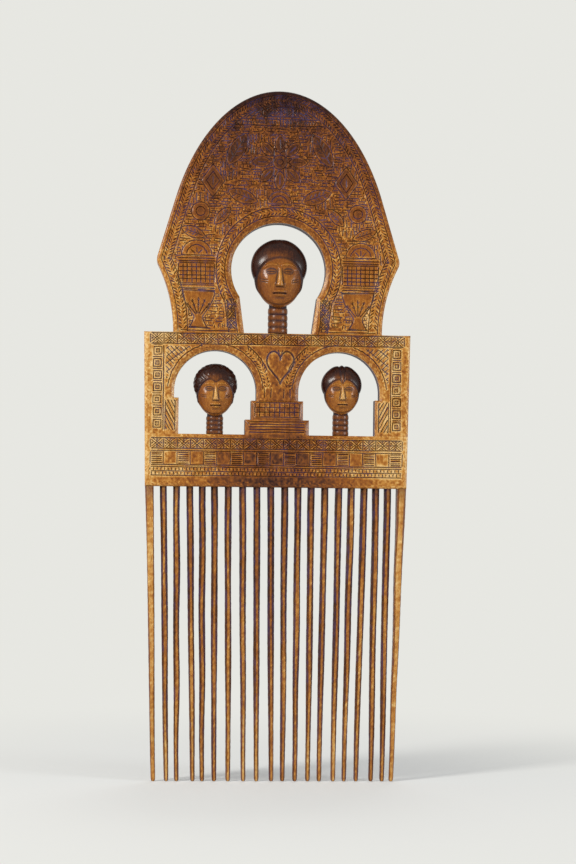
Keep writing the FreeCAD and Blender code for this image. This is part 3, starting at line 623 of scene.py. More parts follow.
def carve_side_field(side):
    """From the shoulder down: a shell over a lattice, a goblet of twigs, and boxes beside the keyhole."""
    middle = side * SIDE_FIELD
    left, right = middle - SIDE_HALF, middle + SIDE_HALF
    shell = np.array([middle, SIDE_SHELL_Z])
    motif(half_disc_loop(shell, SIDE_SHELL_RADIUS))
    shell_bow(shell, 5.2, short=0.12)
    for turn in (45, 90, 135):
        crest_cut([shell + ray(turn) * end for end in SHELL_RIB])
    for z in LATTICE_LINES:
        crest_cut([(left, z), (right, z)])
    crest_motifs.append(box_loop(left, right, *LATTICE_FIELD))
    grid(crest_cut, left + 0.6, right - 0.6, *LATTICE, columns=8, rows=5)
    stem = np.array([middle - side * STEM_IN, STEM_Z])
    motif(goblet_loop(stem[0], *GOBLET), width=0.75)
    for turn in (50, 70, 90, 110, 130):
        twig = ray(turn)
        crest_cut([stem + twig * TWIG_ENDS[0], stem + twig * (TWIG_ENDS[1] - abs(turn - 90) * 0.03)])
        for along in SPRIGS:
            for twist in (-SPRIG_TURN, SPRIG_TURN):
                start = stem + twig * along
                crest_cut([start, start + ray(turn + twist) * SPRIG_LENGTH], width=0.5, depth=FAINT_DEPTH)
    jamb = side * JAMB
    boxes = np.linspace(*JAMB_BOXES, 4)
    for low, high in zip(boxes, boxes[1:]):
        crossed_boxes(crest_cut, jamb - JAMB_HALF, jamb + JAMB_HALF, low, high, 1)
    crest_motifs.append(box_loop(jamb - JAMB_FIELD_HALF, jamb + JAMB_FIELD_HALF, *JAMB_FIELD))


def carve_crest():
    outer_field = bordered(crest_cut, CREST_EDGE, BORDER, pitch=1.7, slant=1.9)
    key_field = bordered(crest_cut, KEYHOLE[::-1], KEY_BORDER, pitch=1.65, slant=1.8)
    for side in SIDES:
        outer, inner = side * (CREST_FOOT_HALF - 3), side * (KEY_FOOT + 3.6)
        crest_cut(run((outer, FOOT_LINE), (inner, FOOT_LINE), step=RULED))
    carve_apex()
    carve_upper_field()
    for side in SIDES:
        carve_side_field(side)
    field = np.vstack([outer_field, key_field])
    field = field[field[:, 1] > FIELD_FOOT]
    for upright in (False, True):
        basket(crest_cut, field, crest_motifs, upright)
    relief["crest_board"] = ([field], crest_motifs)


# Panel: crossed boxes along the top, squares down the stiles, rope cuts on the arches and a heart.
PANEL_BOXES = (58.0, 63.2)
PANEL_BOXES_HALF = 63.6
HEART_CENTRE = (1.3, 46.6)
HEART = heart_loop(HEART_CENTRE, 13.6, 16.4)
HEART_ROOT = np.array([HEART_CENTRE[0], 53.0])
STILE_OUT = 62.9
STILE_LINE = 56.9
STILE_LINE_ENDS = (14.4, 57.2)
STILE_LOW = 15.0
STILE_HIGH = 57.4
SQUARES = 7
SQUARE_CUTS = ((1.95, 0.5), (0.85, 0.42))  # half width and depth
ARCH_RIM = ARCH_RADIUS + 3.2
SPANDREL_TOP = 57.0
SPANDREL_IN = 36.0
SPANDREL_OUT = 56.0
ROPE = (124, 178)  # degrees round the arch
ROPE_BAND = (0.4, 3.9)
ROPE_RIM = ARCH_RIM + 4.1
PLINTH_LINE_IN = PLINTH_IN + 1.7
PLINTH_LINE_OUT = 55.9
PLINTH_LINE_ENDS = (SILL + 1.6, PLINTH_TOP - 1.0)
PLINTH_FIELD = (SILL + 1.4, PLINTH_TOP - 0.6)
COLUMN_LINES = (3.2, 6.4)
COLUMN_LINE_ENDS = (TIER_TOP + 1.0, ARCH_Z + 2.0)
panel_cut = partial(stroke, "arcade_panel")


def carve_stile(side):
    """A ruled line with a column of nested squares beside it."""
    outer, inner = side * STILE_OUT, side * STILE_LINE
    panel_cut(run(*((inner, z) for z in STILE_LINE_ENDS), step=RULED), unsteady=0.08)
    pitch = (STILE_HIGH - STILE_LOW) / SQUARES
    for n in range(SQUARES):
        z = STILE_LOW + (n + 0.5) * pitch
        x = (outer + inner) / 2 + wander(0.15)
        for half, deep in SQUARE_CUTS:
            panel_cut(box_loop(x - half, x + half, z - half, z + half, step=3.0), depth=deep, closed=True)
        between = z + pitch / 2
        panel_cut([(outer - side * 0.4, between), (inner + side * 0.4, between)], depth=0.3)


def carve_arch(side):
    """The hatched corner and the rope cuts of an arch, with its plinth and its half of the column."""

    def arch_arc(radius, start, end):
        start, end = math.radians(on_side(side, start)), math.radians(on_side(side, end))
        return arc((side * ARCH_X, ARCH_Z), radius, start, end)

    panel_cut(arch_arc(ARCH_RIM, 4, 74))
    inner, outer = side * SPANDREL_IN, side * SPANDREL_OUT
    straight = run((inner, SPANDREL_TOP), (outer, SPANDREL_TOP), (outer, ARCH_Z), step=COARSE)
    spandrel = joined(arch_arc(ARCH_RIM + 0.6, 2, 80), straight)
    hatch(panel_cut, spandrel, on_side(side, 45), pitch=1.7)
    hatch(panel_cut, spandrel, on_side(side, -38), pitch=3.0, depth=0.24)
    rope = arch_arc(ARCH_RIM, *ROPE)
    panel_cut(joined(arch_arc(ARCH_RIM, 92, 123), rope))
    near, far = (-side * aside for aside in ROPE_BAND)
    herringbone(panel_cut, rope, near, far, pitch=1.6, slant=1.4, ends=(0.5, 2.5))
    panel_cut(arch_arc(ROPE_RIM, 124, 158))
    plinth_out, plinth_in = side * PLINTH_LINE_OUT, side * PLINTH_LINE_IN
    for x in (plinth_out, plinth_in):
        panel_cut([(x, z) for z in PLINTH_LINE_ENDS])
    plinth = box_loop(plinth_in, plinth_out, *PLINTH_FIELD)
    hatch(panel_cut, plinth, on_side(side, 62), pitch=1.45, depth=GROOVE_DEPTH)
    for x in COLUMN_LINES:
        panel_cut([(side * x, z) for z in COLUMN_LINE_ENDS])


def carve_panel():
    crossed_boxes(panel_cut, -PANEL_BOXES_HALF, PANEL_BOXES_HALF, *PANEL_BOXES, 19)
    for side in SIDES:
        carve_stile(side)
        carve_arch(side)
    panel_cut(HEART, 1.2, 0.6, closed=True)
    for side in SIDES:
        for lean, length in ((28, 2.6), (62, 3.2)):
            sprig = ray(lean) * [side, 1]
            panel_cut([HEART_ROOT + sprig * 0.6, HEART_ROOT + sprig * length])


# Pedestal: a lattice on the upper tier, level lines on the lower.
TIER_LATTICE = (TIER_STEP + 1.4, TIER_TOP - 0.9)
TIER_LATTICE_HALF = 11.2
TIER_LINES = np.linspace(SILL + 1.3, TIER_STEP - 1.0, 5)
TIER_LINE_HALF = 14.2


def carve_pedestal():
    cut = partial(stroke, "stepped_pedestal")
    grid(cut, -TIER_LATTICE_HALF, TIER_LATTICE_HALF, *TIER_LATTICE, columns=9, rows=3)
    for z in TIER_LINES:
        cut(run((-TIER_LINE_HALF, z), (TIER_LINE_HALF, z), step=RULED))


# Bar: crossed boxes, a row of lined and plain blocks, and two rows of tiny squares.
BAR_HALF = 63.0
BAR_BOXES = (5.8, 10.9)
BLOCKS = 19
BLOCK_LOW = -2.4
BLOCK_HIGH = 4.6
TINY_ROWS = (-3.4, -5.5, -7.6)
TINY_PITCH = 1.8


def carve_bar():
    cut = partial(stroke, "tooth_bar")
    crossed_boxes(cut, -BAR_HALF, BAR_HALF, *BAR_BOXES, BLOCKS)
    edges = np.linspace(-BAR_HALF, BAR_HALF, BLOCKS + 1)
    sunk = []
    for z in (BLOCK_LOW, BLOCK_HIGH):
        level_line(cut, -BAR_HALF, BAR_HALF, z)
    for n, (a, b) in enumerate(zip(edges, edges[1:])):
        cut([(a, BLOCK_LOW), (a, BLOCK_HIGH)])
        if n % 2 == 0:
            sunk.append(box_loop(a, b, BLOCK_LOW, BLOCK_HIGH))
            for z in np.linspace(BLOCK_LOW + 0.9, BLOCK_HIGH - 0.9, 6):
                cut([(a + 0.4, z), (b - 0.4, z)])
    cut([(BAR_HALF, BLOCK_LOW), (BAR_HALF, BLOCK_HIGH)])
    for z in TINY_ROWS:
        level_line(cut, -BAR_HALF, BAR_HALF, z)
    for row, (top, foot) in enumerate(zip(TINY_ROWS, TINY_ROWS[1:])):
        for x in np.arange(-BAR_HALF + row * TINY_PITCH / 2, BAR_HALF, TINY_PITCH):
            cut([(x, top - 0.1), (x, foot + 0.1)], 0.85, 0.5)
    relief["tooth_bar"] = (sunk, [])


carve_crest()
carve_panel()
carve_pedestal()
carve_bar()


# Meshes.
RIM_WIDTH = 1.5
RIM_DROP = 1.0
BEVEL_WIDTH = 2.6
BEVEL_DROP = 1.15
REST_DROP = 0.17  # keeps the swelling of the face behind the plank's front
LIFT_WIDTH = 3.0
RINGS = (0.25, 0.6, 1.05, 1.6, 2.2)
GRID = 1.15
BACK_GRID = 3.0
BACK_ROUND = 0.6
BACK_STEPS = ((-0.55 * PLANK, 0.0), (-BACK_ROUND, 0.0), (-0.3 * BACK_ROUND, 0.45), (0.0, 1.0))
BACK_DROP = 0.1
GROUND_DEPTH = 0.38
GROUND_SLOPE = 0.6
PILLOW_DEPTH = 0.3
PILLOW_WIDTH = 1.5
DARK_DEPTH = 0.2  # depth from which a cut is dark all through
LIP_WIDTH = 0.3
LIP_TONE = 0.34
FLECK_TONE = 0.11
BACK_TONE = 0.06
# how dark the walls of the windows are painted, as shade
WALL_SHADE = 0.85
ROW_RISE = 0.866  # height of a row of even triangles with sides of 1
CLEAR_OF_EDGE = 0.22
CLEAR_OF_GROOVE = 0.16
TOUCH = 0.02  # a point nearer than this lies on an edge
FAR = 9.0


def new_object(name, data):
    made = bpy.data.objects.new(name, data)
    bpy.context.scene.collection.objects.link(made)
    return made


def make_piece(name, points, faces, tone, cut, node, slot, smooth_angle=32.0):
    """A mesh object in metres that stands for a CAD node and rides with it."""
    mesh = bpy.data.meshes.new(name)
    mesh.from_pydata((np.asarray(points) * MM).tolist(), [], faces)
    mesh.validate()
    # Tone is the wood's lightness, with painted light and shade in places; cut is how much darker a point
    # is painted, for dirt and shade.
    for key, values in (("tone", tone), ("cut", cut)):
        mesh.attributes.new(key, "FLOAT", "POINT").data.foreach_set("value", np.asarray(values, np.float32))
    mesh.polygons.foreach_set("use_smooth", np.ones(len(mesh.polygons), bool))
    mesh.set_sharp_from_angle(angle=math.radians(smooth_angle))
    mesh.materials.append(woods[slot])
    piece = new_object(name, mesh)
    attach(piece, "root")
    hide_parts(node)


def swell(points):
    """The slow unevenness that a knife leaves on a flat face, in millimetres."""
    x, z = points.T
    return (0.07 * np.sin(0.21 * x + 0.13 * z + 0.4) + 0.06 * np.sin(0.11 * x - 0.29 * z + 1.9)
            + 0.04 * np.sin(0.47 * x + 0.05 * z) * np.sin(0.39 * z + 0.7))


def patchy(points):
    """Worn patches about a finger wide, from 0 to 1."""
    x, z = points.T
    return 0.5 + 0.3 * np.sin(0.37 * x + 0.22 * z + 1.0) + 0.2 * np.sin(0.29 * x - 0.61 * z)


def face_drop(points):
    """How far the worn front face lies below the plank's front, without the carving."""
    rim = distance_to(points, RIM_EDGES)
    window = distance_to(points, WINDOW_EDGES)
    worn = RIM_DROP * (1 - np.sqrt(np.clip(1 - (1 - np.clip(rim / RIM_WIDTH, 0, 1)) ** 2, 0, 1)))
    bevel = BEVEL_DROP * (1 - np.clip(window / BEVEL_WIDTH, 0, 1)) ** 1.5
    lift = np.clip(np.minimum(rim, window) / LIFT_WIDTH, 0, 1)
    return np.maximum(worn, bevel) + REST_DROP - swell(points) * lift, rim, window


def ground_drop(points, member):
    """How far the ground is cut back, with the motifs' edges rounded, and where the motifs stand."""
    drop = np.zeros(len(points))
    standing = np.zeros(len(points))
    fields, motifs = relief.get(member, ([], []))
    for field in fields:
        within = np.flatnonzero(inside(points, field))
        near = points[within]
        on_motif = inside_any(near, motifs)
        gap = distance_to(near, [closing(loop) for loop in [field, *motifs]])
        ground = GROUND_DEPTH * smooth(0.0, GROUND_SLOPE, gap)
        pillow = PILLOW_DEPTH * fall(0.0, PILLOW_WIDTH, gap)
        drop[within] = np.where(on_motif, pillow, ground)
        standing[within] = on_motif * smooth(0.2, 1.0, gap)
    return drop, standing


def groove_at(points, strokes):
    """Depth of the carving at each point, how much darker it is painted there, for the dirt and the shade
    in the cuts, and the lips of the cuts.
    """
    depth, dark, lip = np.zeros((3, len(points)))
    cells = Cells(points)
    for line, half, deep in strokes:
        for n in range(len(line) - 1):
            near = cells.around(line[n], line[n + 1], max(half[n], half[n + 1]) + LIP_WIDTH)
            share, gap = along_and_off(points[near], line[n], line[n + 1])
            wide = half[n] + (half[n + 1] - half[n]) * share
            full = deep[n] + (deep[n + 1] - deep[n]) * share
            inner = np.clip(1 - gap / wide, 0, 1)
            depth[near] = np.maximum(depth[near], full * inner)
            dark[near] = np.maximum(dark[near], inner * np.clip(full / DARK_DEPTH, 0, 1))
            lip[near] = np.maximum(lip[near], 1 - np.abs(gap - wide) / LIP_WIDTH)
    return depth, dark, lip


def left_of(ahead):
    """Unit vectors to the left of rows of directions."""
    ahead = ahead / np.maximum(norms(ahead), 1e-9)[:, None]
    return np.column_stack([-ahead[:, 1], ahead[:, 0]])


def inward_of(loop):
    return left_of(np.roll(loop, -1, 0) - np.roll(loop, 1, 0))


def loop_edges(loop):
    return [(n, (n + 1) % len(loop)) for n in range(len(loop))]


def stroke_net(strokes, first):
    """Points and edges of the grooves' borders and bottoms."""
    points, edges = [], []
    for line, half, _ in strokes:
        aside = left_of(np.gradient(line, axis=0)) * half[:, None]
        for row in (line + aside, line, line - aside):
            start = first + len(points)
            points.extend(row.tolist())
            edges.extend((start + n, start + n + 1) for n in range(len(row) - 1))
    return points, edges


def lattice(loop, across, up, stagger):
    """An even grid of points inside a loop, with every other row moved aside."""
    low, high = loop.min(0), loop.max(0)
    x, z = np.meshgrid(np.arange(low[0], high[0], across), np.arange(low[1], high[1], up))
    x = x + (np.arange(len(x)) % 2)[:, None] * stagger
    points = np.column_stack([x.ravel(), z.ravel()])
    return points[inside(points, loop)]


def fill_points(loop, strokes):
    """Loose points over a face: rings that follow the free edges, and an even field."""
    inward = inward_of(loop)
    edges = RIM_EDGES + WINDOW_EDGES
    free = distance_to(loop, edges) < TOUCH
    rows = []
    for offset in RINGS:
        row = loop[free] + inward[free] * offset
        rows.append(row[distance_to(row, edges) > 0.93 * offset])
    rings = np.vstack(rows)
    field = lattice(loop, GRID, GRID * ROW_RISE, GRID / 2)
    field = field[distance_to(field, edges) > RINGS[-1] + 0.5]
    loose = np.vstack([rings[inside(rings, loop)], field])
    loose = loose[distance_to(loose, [closing(loop)]) > CLEAR_OF_EDGE]
    wider = [(line, half + CLEAR_OF_GROOVE, deep + 1) for line, half, deep in strokes]
    _, taken, _ = groove_at(loose, wider)
    return loose[taken == 0]


def triangulate(points, edges, loop):
    """Points, counterclockwise triangles inside a loop, and each point's places in the list given."""
    flat, _, tris, origin, _, _ = delaunay_2d_cdt([Vector(p) for p in points], edges, [], 0, 1e-5)
    flat = np.array([tuple(p) for p in flat])
    tris = np.array([list(t) for t in tris])
    tris = tris[inside(flat[tris].mean(1), loop)]
    corners = flat[tris]
    area = np.cross(corners[:, 1] - corners[:, 0], corners[:, 2] - corners[:, 0])
    return flat, np.where((area < 0)[:, None], tris[:, ::-1], tris), origin


def border_of(faces):
    """The points round the outside of a net of triangles, in order."""
    sides = dict.fromkeys(edge for a, b, c in faces for edge in ((a, b), (b, c), (c, a)))
    ahead = {a: b for a, b in sides if (b, a) not in sides}
    border = [next(iter(ahead))]
    while ahead[border[-1]] != border[0]:
        border.append(ahead[border[-1]])
    return border


def at_depth(flat, y):
    return np.column_stack([flat[:, 0], np.broadcast_to(y, len(flat)), flat[:, 1]])


def plate(name, loop, tone, slot):
    """A flat member of the plank, with its carving, worn edges, side walls and plain back."""
    strokes = carving[name]
    net, net_edges = stroke_net(strokes, len(loop))
    points = loop.tolist() + net + fill_points(loop, strokes).tolist()
    flat, tris, _ = triangulate(points, loop_edges(loop) + net_edges, loop)
    used, tris = np.unique(tris, return_inverse=True)
    flat = flat[used]
    faces = tris.reshape(-1, 3).tolist()
    drop, rim, window = face_drop(flat)
    cut_back, standing = ground_drop(flat, name)
    depth, dark, lip = groove_at(flat, strokes)
    fleck = np.random.default_rng(len(name)).normal(0, 1, len(flat))
    # The lips of the cuts are painted lighter in patches, as rubbed wear and as painted highlight.
    lip_wear_and_highlight = LIP_TONE * lip * (0.4 + 0.5 * patchy(flat)) * (1 - 0.6 * standing)
    shade = tone(flat, rim, window) + lip_wear_and_highlight + FLECK_TONE * fleck * (1 - 0.7 * standing)
    solid = [at_depth(flat, -PLANK + drop + (depth + cut_back))]

    # Side walls run from the border of the carved face to the back.
    border = border_of(faces)
    edge = flat[border]
    inward = inward_of(edge) * (np.minimum(rim[border], window[border]) < TOUCH)[:, None]
    rows = [border]
    total = len(flat)
    for y, inset in BACK_STEPS:
        ring = edge + inward * (inset * BACK_ROUND)
        solid.append(at_depth(ring, y))
        rows.append(list(range(total, total + len(ring))))
        total += len(ring)
    for front, back in zip(rows, rows[1:]):
        for n, m in loop_edges(front):
            faces.append((front[m], front[n], back[n], back[m]))

    # Plain back.
    field = lattice(ring, BACK_GRID, BACK_GRID, 0.0)
    field = field[distance_to(field, [closing(ring)]) > 1.0]
    spread, back_tris, origin = triangulate(np.vstack([ring, field]), loop_edges(ring), ring)
    place, extra = [], []
    for spot, sources in zip(spread, origin):
        if sources and sources[0] < len(ring):
            place.append(rows[-1][sources[0]])
        else:
            place.append(total + len(extra))
            extra.append(spot)
    extra = np.array(extra)
    solid = np.vstack([*solid, at_depth(extra, -BACK_DROP + np.minimum(BACK_DROP, swell(extra) * 0.5))])
    faces += [(place[c], place[b], place[a]) for a, b, c in back_tris]
    rest = solid[len(flat):, [0, 2]]
    far = np.full(len(rest), FAR)
    shade = np.concatenate([shade, tone(rest, far, far) - BACK_TONE])
    # The walls of the windows are painted dark, as shade.
    walls = np.tile(WALL_SHADE * (window[border] < TOUCH), len(BACK_STEPS))
    dark = np.concatenate([dark, walls, np.zeros(len(extra))])
    make_piece(name + "_carved", solid, faces, np.clip(shade, 0, 1), dark, name, slot)


# Wood.
class Nodes:
    """A cleared node tree that is filled by short calls."""

    def __init__(self, owner):
        owner.use_nodes = True
        self.tree = owner.node_tree
        self.tree.nodes.clear()

    def add(self, kind, inputs=(), **settings):
        """A new node, its inputs given as values or as the outputs they are linked to."""
        node = self.tree.nodes.new("ShaderNode" + kind)
        for key, value in settings.items():
            setattr(node, key, value)
        for key, value in dict(inputs).items():
            if isinstance(value, bpy.types.NodeSocket):
                self.tree.links.new(value, node.inputs[key])
            else:
                node.inputs[key].default_value = value
        return node

    def maths(self, operation, a, b, clamp=False):
        return self.add("Math", {0: a, 1: b}, operation=operation, use_clamp=clamp).outputs[0]

    def weighted(self, start, shares):
        """A value with shares of others added to it."""
        for source, share in shares:
            start = self.maths("ADD", start, self.maths("MULTIPLY", source, share))
        return start

    def attribute(self, name):
        return self.add("Attribute", attribute_name=name).outputs["Fac"]

    def mixed(self, factor, a, b):
        return self.add("Mix", {"Factor": factor, "A": a, "B": b}, data_type="RGBA").outputs["Result"]

    def seen(self):
        """1 for the rays that show the stage: from the camera, off gloss and through glass."""
        path = self.add("LightPath").outputs
        direct = self.maths("MAXIMUM", path["Is Camera Ray"], path["Is Glossy Ray"])
        return self.maths("MAXIMUM", direct, path["Is Transmission Ray"])


WOOD_TONES = ((0.0, (0.016, 0.004, 0.003)), (0.15, (0.045, 0.013, 0.006)), (0.3, (0.105, 0.033, 0.009)),
              (0.45, (0.19, 0.058, 0.010)), (0.6, (0.285, 0.100, 0.015)), (0.75, (0.43, 0.19, 0.036)),
              (0.9, (0.56, 0.33, 0.105)), (1.0, (0.66, 0.42, 0.17)))
PORE_COLOUR = (0.03, 0.012, 0.006, 1)
GRIME_AND_SHADE_COLOUR = (0.016, 0.008, 0.008, 1)
VIOLET = (0.036, 0.024, 0.068)
PALE_VIOLET = (0.056, 0.040, 0.098)
PLUM = (0.022, 0.013, 0.022)
woods = {}


def wood(name, seed, roughness, specular, coat, cut_tint=VIOLET, grain=0.35):
    """Waxed wood with streaks and dark pores, its cuts painted darker for their dirt and their shade, and
    violet in patches. Tone and cut come with the mesh.
    """
    material = bpy.data.materials.new(name)
    nodes = Nodes(material)
    place = nodes.add("TexCoord").outputs["Object"]
    away = (seed * 3.1, seed * 1.7, seed * 0.9)

    def noise(scale, detail, rough):
        moved = nodes.add("Mapping", {"Vector": place, "Scale": scale, "Location": away}).outputs["Vector"]
        texture = {"Vector": moved, "Scale": 1.0, "Detail": detail, "Roughness": rough}
        return nodes.add("TexNoise", texture).outputs["Fac"]

    streak = noise((950, 950, 38), 4.0, 0.6)
    figure = noise((120, 120, 9), 3.0, 0.55)
    mottle = noise((70, 70, 45), 4.0, 0.6)
    pore = noise((2600, 2600, 210), 2.0, 0.5)
    smudge = noise((210, 210, 160), 3.0, 0.6)
    speckle = noise((1500, 1500, 700), 3.0, 0.7)
    cut = nodes.attribute("cut")

    uneven = ((streak, 0.3), (figure, 0.22), (mottle, 0.28), (speckle, 0.42))
    uneven = [(nodes.maths("SUBTRACT", source, 0.5), share) for source, share in uneven]
    ramp = nodes.add("ValToRGB", {"Fac": nodes.weighted(nodes.attribute("tone"), uneven)})
    stops = ramp.color_ramp.elements
    stops.remove(stops[1])
    stops[0].color = (*WOOD_TONES[0][1], 1)
    for position, colour in WOOD_TONES[1:]:
        stops.new(position).color = (*colour, 1)
    pores = nodes.add("MapRange", {"Value": pore, "From Min": 0.62, "From Max": 0.74, "To Max": 0.55})
    colour = nodes.mixed(pores.outputs["Result"], ramp.outputs["Color"], PORE_COLOUR)
    covering = nodes.weighted(0.72, ((smudge, 0.55),))
    # Where the cut attribute is high the colour is painted darker: dirt and shade in the cuts, painted
    # shade on window walls, tooth sides and creases.
    grime_and_shade = nodes.maths("MULTIPLY", nodes.maths("POWER", cut, 0.75), covering, True)
    # In patches the darkened cuts turn violet.
    tinted_share = nodes.maths("MULTIPLY", nodes.maths("SUBTRACT", smudge, 0.42), 5.0, True)
    colour = nodes.mixed(grime_and_shade, colour, nodes.mixed(tinted_share, GRIME_AND_SHADE_COLOUR, (*cut_tint, 1)))

    rough = nodes.weighted(roughness - 0.2, ((smudge, 0.24), (speckle, 0.16), (cut, 0.25)))
    height = nodes.weighted(0.0, ((streak, 0.6), (pore, 0.5), (smudge, 1.2), (speckle, 0.5)))
    bump = nodes.add("Bump", {"Strength": grain, "Distance": 0.00022, "Height": height})
    shader = nodes.add("BsdfPrincipled", {
        "Base Color": colour, "Roughness": rough, "Specular IOR Level": specular, "Coat Weight": coat,
        "Coat Roughness": 0.22, "Normal": bump.outputs["Normal"]})
    nodes.add("OutputMaterial", {"Surface": shader.outputs["BSDF"]})
    woods[name] = material


wood("crest_wood", seed=1.0, roughness=0.3, specular=0.15, coat=0.02, cut_tint=PALE_VIOLET)
wood("panel_wood", seed=2.0, roughness=0.32, specular=0.2, coat=0.02)
wood("head_wood", seed=3.0, roughness=0.26, specular=0.18, coat=0.03, cut_tint=PLUM, grain=0.18)
wood("tooth_wood", seed=4.0, roughness=0.34, specular=0.25, coat=0.03)
wood("guard_wood", seed=5.0, roughness=0.42, specular=0.25, coat=0.03)


# Tones of the members, from 0, nearly black, to 1, pale, with their worn edges lighter.
def worn_edge(rim, window, inner=0.6, outer=2.8):
    return fall(inner, outer, np.minimum(rim, window))


def crest_tone(points, rim, window):
    x, z = np.abs(points[:, 0]), points[:, 1]
    base = np.interp(z, [64, 100, 150, 172, 184], [0.5, 0.47, 0.2, 0.1, -0.15]) + 0.06 * smooth(20, 55, x)
    return base + worn_edge(rim, window * 1.15) * np.interp(z, [64, 110, 150, 184], [0.2, 0.18, 0.12, 0.06])


def panel_tone(points, rim, window):
    x = np.abs(points[:, 0])
    base = 0.52 + 0.2 * smooth(36, 63, x) - 0.05 * smooth(20, 60, points[:, 0])
    column = fall(14, 20, x) * ~inside(points, HEART)
    return base + worn_edge(rim, window) * 0.1 - column * 0.08


def pedestal_tone(points, rim, window):
    return 0.36 + 0.12 * worn_edge(rim, window, 0.8, 2.4)


def bar_tone(points, rim, window):
    x, z = np.abs(points[:, 0]), points[:, 1]
    base = np.interp(x, [0, 12, 39, 55, 65], [0.25, 0.28, 0.54, 0.67, 0.78])
    sill = smooth(11, 12.5, z)
    strip = fall(-8.5, -7, z)
    return base + worn_edge(rim, window) * 0.08 + sill * 0.08 - strip * 0.05


plate("crest_board", CREST_LOOP, crest_tone, "crest_wood")
plate("arcade_panel", PANEL_LOOP, panel_tone, "panel_wood")
plate("stepped_pedestal", PEDESTAL_LOOP, pedestal_tone, "panel_wood")
plate("tooth_bar", BAR_LOOP, bar_tone, "panel_wood")


# Teeth: whittled shafts with flat fronts and bevelled sides.
TIP_LEVELS = (0.985, 0.992, 0.997, 1.0)
TIP_ROUND = (1, 0.97, 0.88, 0.7)
TOOTH_TAPER = ((0, 0.6, 1), (0, 0.3, 1))
GUARD_TAPER = ((0, 0.2, 1), (0, 0.35, 1))
ROUND_TURN = 6.3
TOOTH_RINGS = 110
TOOTH_SLIM = 0.985  # keeps a tooth within its solid
TOOTH_SMOOTH = 26.0


def tube_faces(first, rows, sides):
    """Faces between rows of points that go round a stem, with its two end caps."""
    faces = []
    for n in range(rows - 1):
        for k in range(sides):
            a, b = first + n * sides + k, first + n * sides + (k + 1) % sides
            faces.append((a, b, b + sides, a + sides))
    last = first + (rows - 1) * sides
    faces.append(tuple(range(first + sides - 1, first - 1, -1)))
    faces.append(tuple(range(last, last + sides)))
    return faces


def node_ends(name):
    """Middle and size of a tooth at its root and at its tip, in millimetres."""
    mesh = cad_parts[name].data
    spots = np.empty(len(mesh.vertices) * 3)
    mesh.vertices.foreach_get("co", spots)
    spots = spots.reshape(-1, 3) / MM
    ends = []
    for level in (spots[:, 2].max(), spots[:, 2].min()):
        ring = spots[np.abs(spots[:, 2] - level) < 0.05]
        ends.append(((ring.min(0) + ring.max(0)) / 2, ring.max(0) - ring.min(0)))
    return ends


def shaft(name, taper, bevel, tone_ends, grime_and_shade, slot, seed):
    """One tooth from root to tip, in rings whose first two points bound the flat front."""
    (root, root_size), (tip, tip_size) = node_ends(name)
    uneven = random.Random(seed)
    waves = [(uneven.uniform(0.5, 1.0), uneven.uniform(0.6, 2.6), uneven.uniform(0, ROUND_TURN))
             for _ in range(6)]
    levels = np.concatenate([np.linspace(0, TIP_LEVELS[0], TOOTH_RINGS), TIP_LEVELS[1:]])
    shares = np.interp(levels, *taper)
    rounding = np.interp(levels, TIP_LEVELS, TIP_ROUND)
    points, tone, cut = [], [], []
    for level, share, close in zip(levels, shares, rounding):
        middle = root + (tip - root) * level
        size = (root_size + (tip_size - root_size) * share) * close
        fade = min(1.0, level * 12) * (1 - 0.6 * smooth(0.9, 1.0, level))
        wobble = [fade * gain * math.sin(rate * level * ROUND_TURN + phase) for gain, rate, phase in waves]
        x, y = size[0] / 2, size[1] / 2
        narrow = 1 - 0.05 * (1 + wobble[0])
        face = x * (bevel + 0.12 * wobble[1])
        drift = 0.14 * x * wobble[2]
        shoulder = min(0.85 * y, 1.1 * (x - face) + 0.3)
        left, right = shoulder * (1 + 0.2 * wobble[3]), shoulder * (1 + 0.2 * wobble[4])
        bend = 0.14 * wobble[5]
        near_left, near_right = 0.2 * (x + drift - face), 0.2 * (x - drift - face)
        back = y - 0.7 * shoulder
        ring = [(drift - face, -y), (drift + face, -y), (drift + face + near_right, 0.2 * right - y),
                (x, right - y), (x, back), (face, y), (-face, y), (-x, back), (-x, left - y),
                (drift - face - near_left, 0.2 * left - y)]
        for n, (across, through) in enumerate(ring):
            nick = 0.05 * fade * uneven.uniform(-1, 1)
            aside = middle[0] + across * narrow + bend + nick
            points.append((aside, middle[1] + through * TOOTH_SLIM, middle[2]))
            # The flat front is painted lighter, as light, the bevelled sides darker, as shade, and the root
            # darker, as the shade under the bar.
            front = n < 2
            tone.append(tone_ends[0] + (tone_ends[1] - tone_ends[0]) * level + 0.2 * front
                        + 0.05 * math.sin(7 * level + seed) + 0.07 * uneven.gauss(0, 1))
            cut.append(max(0.4 * fall(0.0, 0.06, level), 0.0 if front else grime_and_shade * (1 - 0.4 * level)))
    faces = [face[::-1] for face in tube_faces(0, len(levels), len(ring))]
    make_piece(name + "_shaft", points, faces, tone, cut, name, slot, TOOTH_SMOOTH)


for number in range(1, 19):
    off_centre = abs(number - 9.5) / 8.5
    tones = (0.27 + 0.15 * off_centre + wander(0.07), 0.52 + wander(0.07))
    shaft(f"tooth_{number:02d}", TOOTH_TAPER, bevel=0.36, tone_ends=tones, grime_and_shade=0.8, slot="tooth_wood",
          seed=number)
for side, seed in (("left", 31), ("right", 37)):
    shaft(f"{side}_guard_tooth", GUARD_TAPER, bevel=0.62, tone_ends=(0.54, 0.53), grime_and_shade=0.3,
          slot="guard_wood", seed=seed)


# Heads: a cap of hair over an egg-shaped face with plain, evenly proportioned features, on a ringed neck.
def bell(value, width):
    return np.exp(-(value / width) ** 2)


def lens(u, v=0.0):
    return np.sqrt(np.clip(1 - u * u - v * v, 0, 1))


